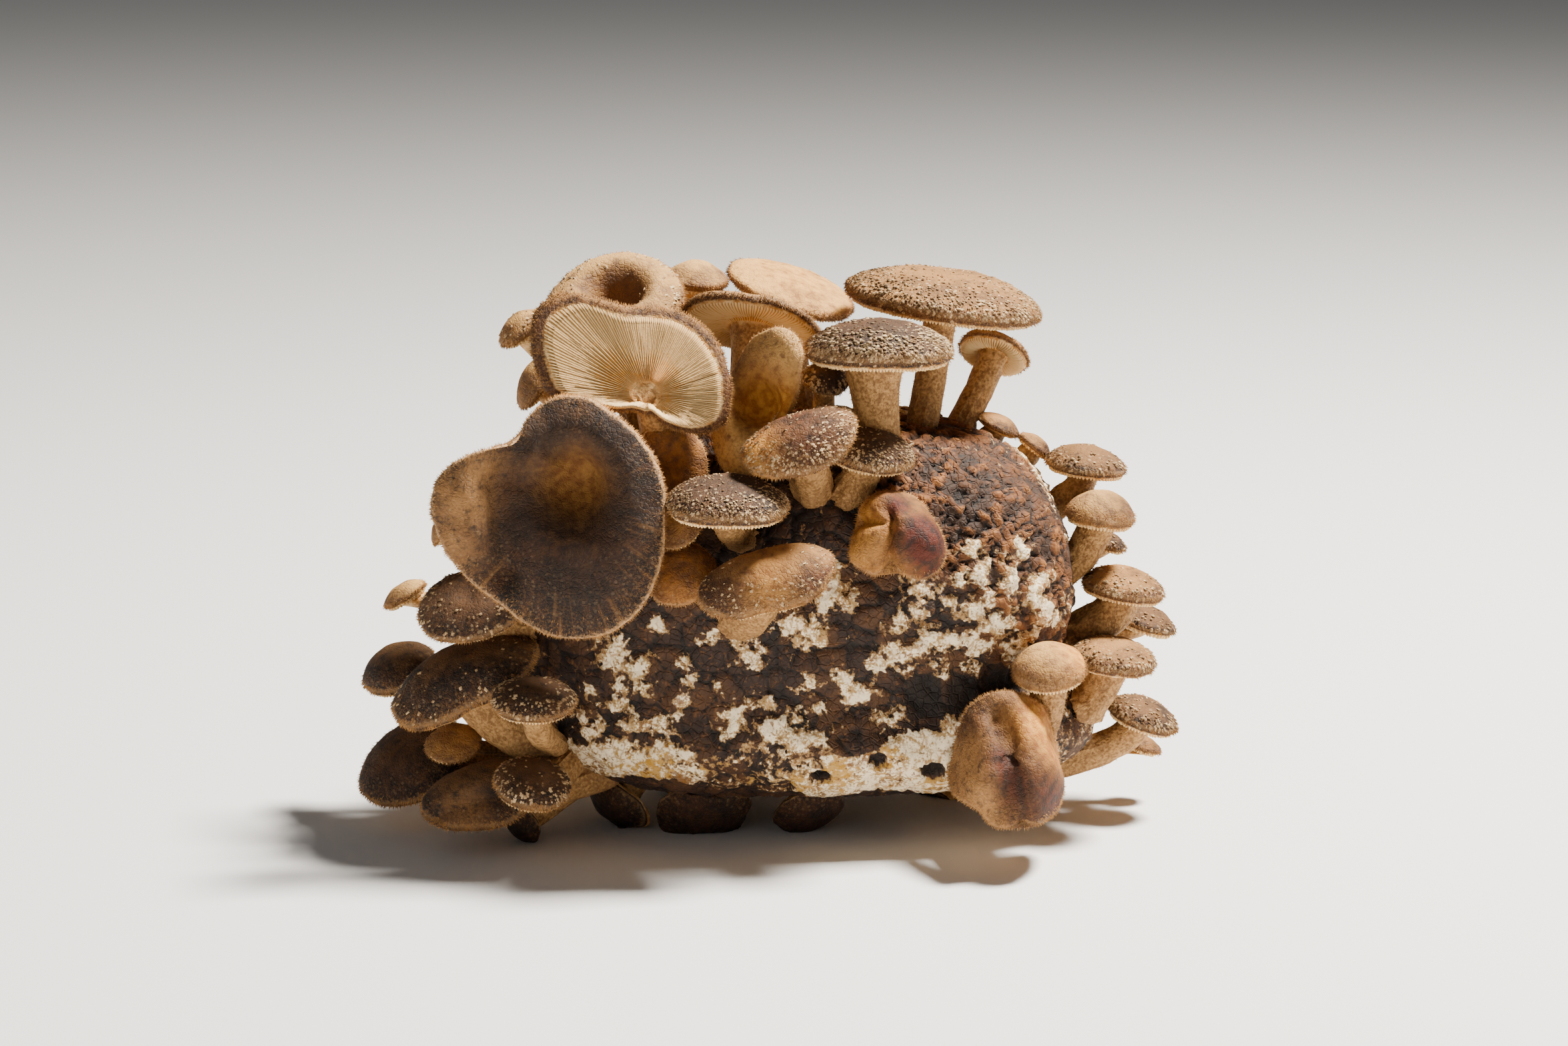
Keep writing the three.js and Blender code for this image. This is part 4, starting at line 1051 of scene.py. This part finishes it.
def flesh_material(tone, colours):
    """Skin, rim, underside and stem of a mushroom, by how far out on it each point lies."""
    deep, skin, pale_colour = (getattr(colours, tone + part) for part in ("_deep", "", "_pale"))

    def make(name):
        f = Finish(name)
        reach, sky, pale, spoke = f.value("reach"), f.value("sky"), f.value("pale"), f.vector("spoke")
        broad, mid, fine, grain = f.noise(11, 3), f.noise(3.4, 3), f.noise(1.1, 3), f.noise(0.45, 2)
        cap = f.blend(f.rise(broad * 0.5 + mid * 0.5, 0.35, 0.66), deep, skin)
        ray = f.noise(1.0, 3, spoke)
        cap = f.blend(f.rise(ray, 0.46, 0.62) * f.rise(reach, 0.45, 0.9) * f.value("streaks"), cap, deep)
        between = f.rise(ray, 0.44, 0.3) * f.rise(reach, 0.5, 0.95) * f.value("streaks")
        cap = f.blend(between * 0.4, cap, pale_colour)
        # Paler where the cap faces up, by its pale trait.
        paler_facing_up = f.rise(sky + (broad - 0.5) * 1.1 + (mid - 0.5) * 0.6, 0.35, 1.15) * pale
        cap = f.blend(paler_facing_up, cap, pale_colour)
        # Pale patches: wear, and painted highlight on the front dish's left lobe.
        cap = f.blend(f.value("wear_and_highlight") * f.rise(fine * 0.5 + mid * 0.5, 0.2, 0.6), cap, pale_colour)
        felt = f.rise(fine * 0.55 + grain * 0.45, 0.47, 0.62)
        cap = f.blend(felt * (0.08 + 0.22 * f.rise(reach, 0.5, 1.0)), cap, pale_colour)
        speck = f.rise(f.cells(2.3) + (fine - 0.5) * 0.5, 0.3, 0.18) * f.rise(reach, 0.25, 0.85)
        cap = f.blend(speck * f.value("scaly") * 0.75, cap, colours.flake)
        cap = f.blend(f.rise(mid, 0.4, 0.28) * 0.5, cap, deep)
        golden = f.blend(f.rise(mid, 0.3, 0.7), colours.gold, colours.honey)
        cap = f.blend(f.value("glow"), cap, golden)
        ruddy = f.blend(f.rise(mid, 0.35, 0.65), colours.russet_deep, colours.russet)
        cap = f.blend(f.value("russet"), cap, ruddy)
        # Painted shade: the dark patches darken a cap towards its deep colour.
        cap = f.blend(f.value("painted_shade") * 0.8, cap, deep)
        brim = f.rise(reach + (fine - 0.5) * 0.12, 0.95, 1.02) * f.rise(reach, 1.12, 1.04)
        cap = f.blend(brim * f.value("edge"), cap, colours.brim)
        below = f.rise(reach - f.value("start") + (fine - 0.5) * 0.06, -0.03, 0.03)
        under = f.blend(f.rise(mid, 0.4, 0.7), colours.gill_shade, colours.gill)
        stalk = f.blend(f.rise(fine * 0.6 + mid * 0.4, 0.38, 0.62), colours.stem_shade, colours.stem)
        stalk = f.blend(f.rise(mid + (reach - 2.6) * 0.5, 0.5, 0.8) * 0.6, stalk, colours.stem_scale)
        cap = f.blend(below, cap, under)
        cap = f.blend(f.rise(reach, 1.9, 2.06), cap, stalk)
        rough = 0.62 + fine * 0.25 + paler_facing_up * 0.1
        pad = f.rise(f.cells(1.7, "DISTANCE_TO_EDGE"), 0.0, 0.16)
        height = mid * 0.5 + fine * 0.7 + grain * 0.35 + pad * 0.3
        return f.done(cap, rough, height, 0.42, IOR=1.42)

    return kept(f"Mushroom {tone.capitalize()}", make)


def gill_material(colours):
    """Cream gills, darker in the valleys between them as painted shade, with orange specks near the
    stem.
    """

    def make(name):
        f = Finish(name)
        fin, reach = f.value("fin"), f.value("reach")
        blotch, fine = f.noise(5, 3), f.noise(1.0, 2)
        # Painted shade: the valleys between the gills take the darker colour.
        colour = f.blend(f.rise(fin, 0.0, 0.8), colours.gill_shade, colours.gill)
        speck = f.rise(f.noise(1.9, 3) + (blotch - 0.5) * 0.5, 0.55, 0.68) * f.rise(reach, 1.35, 1.8)
        colour = f.blend(speck * 0.6, colour, colours.honey)
        colour = f.blend(f.rise(reach, 1.75, 2.0) * 0.35, colour, colours.honey)
        return f.done(colour, 0.7 + fine * 0.2, fine, 0.1, IOR=1.4)

    return kept("Gills", make)


def plain_material(title, first, second):
    """Flakes or felt: two colours in patches, with a little grain."""

    def make(name):
        f = Finish(name)
        patches, grain = f.noise(5, 2), f.noise(0.7, 2)
        colour = f.blend(f.rise(patches * 0.6 + grain * 0.4, 0.36, 0.64), first, second)
        return f.done(colour, 0.75 + grain * 0.2, grain, 0.1, IOR=1.4)

    return kept(title, make)


# ---------------------------------------------------------------- settings


def tint(name, code, description):
    """A colour property from a web colour code."""
    parts = [int(code[k:k + 2], 16) / 255 for k in (0, 2, 4)]
    linear = [c / 12.92 if c <= 0.04045 else ((c + 0.055) / 1.055) ** 2.4 for c in parts]
    return bpy.props.FloatVectorProperty(
        name=name, description=description, subtype="COLOR", size=3, min=0, max=1, default=linear)


def length(name, millimetres, description):
    """A length property."""
    return bpy.props.FloatProperty(
        name=name, description=description, subtype="DISTANCE", unit="LENGTH",
        default=millimetres * MM)


class ShiitakeSizes(bpy.types.PropertyGroup):
    """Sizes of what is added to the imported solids."""

    around: bpy.props.IntProperty(
        name="Log Columns", description="Columns of faces round the log", default=430)
    upward: bpy.props.IntProperty(
        name="Log Rows", description="Rows of faces up the log", default=200)
    relief: length("Log Relief", 1.0, "Height of the log's plates and chips")
    plate: length("Bark Plate", 10, "Distance between cracks in the log's dark skin")
    chip: length("Chip", 4.2, "Size of the log's loose chips")
    lumps: length("Cap Lumps", 1.0, "Height of the lumps in caps and stems")
    tuck: length("Stem Tuck", 3.0, "How far a stem's end goes on into the log")
    gill_spacing: length("Gill Spacing", 1.25, "Distance between gills at the rim")
    gill_height: length("Gill Height", 0.85, "Height of a gill")
    gill_start: bpy.props.FloatProperty(
        name="Gill Start", description="Where gills begin, from 1 at the rim to 2 at the stem",
        default=1.17)
    flake: length("Flake", 1.35, "Length of a flake of skin")
    hair: length("Hair", 0.8, "Length of a hair of felt")


class ShiitakeColours(bpy.types.PropertyGroup):
    """Colours of the log and of the mushrooms."""

    # The deep colours also serve as painted shade in the dark patches; the pale colours lighten what
    # faces up and the worn patches, and are painted highlight on the front dish's lobe.
    dark_deep: tint("Dark Deep", "1d110a", "Hollows of the dark caps")
    dark: tint("Dark", "3d2211", "Skin of the dark caps")
    dark_pale: tint("Dark Pale", "966a3a", "Worn tops of the dark caps")
    brown_deep: tint("Brown Deep", "351d0c", "Hollows of the brown caps")
    brown: tint("Brown", "5b361b", "Skin of the brown caps")
    brown_pale: tint("Brown Pale", "b98549", "Worn tops of the brown caps")
    tan_deep: tint("Tan Deep", "65442a", "Hollows of the tan caps")
    tan: tint("Tan", "91622e", "Skin of the tan caps")
    tan_pale: tint("Tan Pale", "d2a35e", "Worn tops of the tan caps")
    amber_deep: tint("Amber Deep", "5a3517", "Hollows of the amber caps")
    amber: tint("Amber", "8c561a", "Skin of the amber caps")
    amber_pale: tint("Amber Pale", "c48d45", "Worn tops of the amber caps")
    gold: tint("Gold", "b0691a", "Golden patches")
    honey: tint("Honey", "e2a044", "Lighter golden patches")
    russet: tint("Russet", "531d0a", "Red-brown patches")
    russet_deep: tint("Russet Deep", "270d05", "Darker red-brown patches")
    brim: tint("Brim", "c39a6c", "Thin pale edge of a rim")
    flake: tint("Flake", "d6b587", "Flakes of skin on the caps")
    flake_shade: tint("Flake Shade", "7a5633", "Darker flakes")
    gill: tint("Gill", "f4cf92", "Gills")
    # This colour is also painted shade in the valleys between the gills, and is mixed at random into the
    # underside.
    gill_shade: tint("Gill Shade", "bd8440", "Foot of the gills")
    stem: tint("Stem", "bd9056", "Stems")
    stem_shade: tint("Stem Shade", "805a30", "Shaded felt of the stems")
    stem_scale: tint("Stem Scale", "6b472a", "Brown scales low on the stems")
    bark: tint("Bark", "472b12", "Skin of the log")
    bark_dark: tint("Bark Dark", "26160d", "Hollows in the log's skin")
    bark_worn: tint("Bark Worn", "7c4f26", "Worn edges of the log's skin")
    chip: tint("Chip", "6e3f16", "Chips")
    chip_dark: tint("Chip Dark", "301b0a", "Dark chips")
    # This chip colour is the painted highlight on the raised tops of the chips.
    chip_highlight: tint("Chip Highlight", "96602b", "Painted highlight on raised chips")
    crack: tint("Crack", "120a06", "Cracks and holes")
    halo: tint("Halo", "a87f4e", "Tan edge of the mycelium")
    mycelium: tint("Mycelium", "f7e4c0", "Mycelium")
    mycelium_grey: tint("Mycelium Grey", "ac8a58", "Older mycelium")
    stain: tint("Stain", "b07f16", "Yellow stains")


class ShiitakeStage(bpy.types.PropertyGroup):
    """Floor, lights and camera."""

    target: bpy.props.FloatVectorProperty(
        name="Target", description="Point that the camera faces", subtype="TRANSLATION",
        default=(4.74 * MM, -3.19 * MM, 113 * MM))
    distance: length("Camera Distance", 1389, "From the camera to its target")
    elevation: bpy.props.FloatProperty(
        name="Elevation", description="Height of the camera above the level of its target",
        subtype="ANGLE", default=math.radians(12))
    lens: bpy.props.FloatProperty(name="Lens", description="Focal length in mm", default=85)
    key: bpy.props.FloatProperty(
        name="Key Light", description="Power of the lamp above", subtype="POWER", default=165)
    fill: bpy.props.FloatProperty(
        name="Fill Light", description="Power of the lamp in front", subtype="POWER", default=3.5)
    sky: bpy.props.FloatProperty(
        name="Room Light", description="Brightness all round", default=0.1)
    floor: tint("Floor", "eceae8", "The floor")


# ---------------------------------------------------------------- operators


class SHIITAKE_OT_log(bpy.types.Operator):
    """Builds the log, with its plates, chips and mycelium"""

    bl_idname = "shiitake.log"
    bl_label = "Log"

    def execute(self, context):
        build_log(context.scene.shiitake_sizes, context.scene.shiitake_colours)
        return {"FINISHED"}


class SHIITAKE_OT_mushrooms(bpy.types.Operator):
    """Builds the skin of every cap and stem"""

    bl_idname = "shiitake.mushrooms"
    bl_label = "Caps and Stems"

    def execute(self, context):
        sizes, colours = context.scene.shiitake_sizes, context.scene.shiitake_colours
        for name, (_, _, tone, traits) in MUSHROOMS.items():
            nodes = family(name)
            piece = cap_skin(name, sizes)
            piece.name = f"{nodes[0]}_skin"
            flesh = flesh_material(traits.get("skin", tone), colours)
            finished(piece, flesh, f"cap_{tone}", nodes[0])
            if len(nodes) > 1:
                piece = stem_skin(name, sizes)
                piece.name = f"{nodes[1]}_skin"
                finished(piece, flesh_material(tone, colours), "stem", nodes[1])
        return {"FINISHED"}


class SHIITAKE_OT_gills(bpy.types.Operator):
    """Builds the gills of every cap but those under the log"""

    bl_idname = "shiitake.gills"
    bl_label = "Gills"

    def execute(self, context):
        sizes, colours = context.scene.shiitake_sizes, context.scene.shiitake_colours
        for name in MUSHROOMS:
            if name.startswith("under"):
                continue
            piece = gill_sheet(name, sizes)
            if piece:
                finished(piece, gill_material(colours), "stem", family(name)[0])
        return {"FINISHED"}


class SHIITAKE_OT_scales(bpy.types.Operator):
    """Builds the flakes on the caps, the fringe round their rims and the felt on the stems"""

    bl_idname = "shiitake.scales"
    bl_label = "Scales and Felt"

    def execute(self, context):
        sizes, colours = context.scene.shiitake_sizes, context.scene.shiitake_colours
        scales, fringe, felt, nodes = [], [], [], []
        for order, (name, skin) in enumerate(SKINS.items()):
            rng = np.random.default_rng(order)
            mesh, traits = skin["piece"].data, skin["traits"]
            if skin.get("stem_only"):
                felt += stem_hairs(mesh, traits.get("felt", LONE_STEM_HAIRS), sizes, rng)
                continue
            if name.startswith("under"):
                continue
            nodes.append(family(name)[0])
            scales += cap_flakes(skin, sizes, rng)
            fringe += rim_hairs(skin, sizes, rng)
            if skin["whole"] and traits.get("felt"):
                felt += stem_hairs(mesh, traits["felt"], sizes, rng)
        flaky = plain_material("Flakes", colours.flake_shade, colours.flake)
        fuzzy = plain_material("Felt", colours.stem_shade, colours.stem)
        ragged = plain_material("Fringe", colours.brown_pale, colours.flake_shade)
        finished(joined("cap_scales", scales), flaky, "cap_tan", *nodes)
        finished(joined("cap_fringe", fringe), ragged, "cap_tan", *nodes)
        stems = [f"{name}_stem" for name in MUSHROOMS if name in SPLIT]
        finished(joined("stem_felt", felt), fuzzy, "stem", *stems)
        return {"FINISHED"}


def lamp(name, power, target, size, place, colour):
    """A square lamp that faces a point."""
    light = bpy.data.lights.new(name, "AREA")
    light.size, light.energy, light.color = size, power, colour
    holder = bpy.data.objects.new(name, light)
    bpy.context.scene.collection.objects.link(holder)
    holder.location = place
    holder.rotation_euler = (Vector(target) - Vector(place)).to_track_quat("-Z", "Y").to_euler()


class SHIITAKE_OT_stage(bpy.types.Operator):
    """Builds the floor, the lights and the camera"""

    bl_idname = "shiitake.stage"
    bl_label = "Stage"

    def execute(self, context):
        stage = context.scene.shiitake_stage
        shape = bmesh.new()
        bmesh.ops.create_grid(shape, x_segments=1, y_segments=1, size=FLOOR_HALF)
        mesh = bpy.data.meshes.new("floor")
        shape.to_mesh(mesh)
        shape.free()
        floor = link("floor", mesh)
        f = Finish("Floor")
        mesh.materials.append(f.done(stage.floor, 0.8, f.noise(40, 1), 0.01))

        target = Vector(stage.target)
        lamp("Key", stage.key, target, *KEY)
        lamp("Fill", stage.fill, target, *FILL)
        world = bpy.data.worlds.new("Room")
        world.use_nodes = True
        backdrop = world.node_tree.nodes["Background"]
        backdrop.inputs["Color"].default_value = ROOM
        backdrop.inputs["Strength"].default_value = stage.sky
        context.scene.world = world

        camera = bpy.data.cameras.new("Camera")
        camera.lens, camera.sensor_width = stage.lens, 36
        camera.clip_start, camera.clip_end = 0.05, 40
        holder = bpy.data.objects.new("Camera", camera)
        context.scene.collection.objects.link(holder)
        back = Vector((0, -math.cos(stage.elevation), math.sin(stage.elevation)))
        holder.location = target + back * stage.distance
        holder.rotation_euler = (-back).to_track_quat("-Z", "Y").to_euler()
        context.scene.camera = holder
        return {"FINISHED"}


class SHIITAKE_PT_panel(bpy.types.Panel):
    """Lists the steps, sizes and colours"""

    bl_idname = "SHIITAKE_PT_panel"
    bl_label = "Shiitake Log"
    bl_space_type = "VIEW_3D"
    bl_region_type = "UI"
    bl_category = "Shiitake"

    def draw(self, context):
        for kind in STEPS:
            self.layout.operator(kind.bl_idname)
        for title in GROUPS:
            group = getattr(context.scene, title)
            box = self.layout.box()
            for name in group.__annotations__:
                box.prop(group, name)


STEPS = (
    SHIITAKE_OT_stage, SHIITAKE_OT_log, SHIITAKE_OT_mushrooms, SHIITAKE_OT_gills, SHIITAKE_OT_scales)
GROUPS = {
    "shiitake_sizes": ShiitakeSizes,
    "shiitake_colours": ShiitakeColours,
    "shiitake_stage": ShiitakeStage,
}


def register():
    """Adds the settings, steps and panel."""
    for kind in (*GROUPS.values(), *STEPS, SHIITAKE_PT_panel):
        bpy.utils.register_class(kind)
    for name, group in GROUPS.items():
        setattr(bpy.types.Scene, name, bpy.props.PointerProperty(type=group))


def unregister():
    """Takes them away again."""
    for name in GROUPS:
        delattr(bpy.types.Scene, name)
    for kind in reversed((*GROUPS.values(), *STEPS, SHIITAKE_PT_panel)):
        bpy.utils.unregister_class(kind)


def main():
    """Registers the steps and builds everything in order."""
    register()
    bpy.ops.shiitake.stage()
    bpy.ops.shiitake.log()
    bpy.ops.shiitake.mushrooms()
    bpy.ops.shiitake.gills()
    bpy.ops.shiitake.scales()


if __name__ == "__main__":
    main()
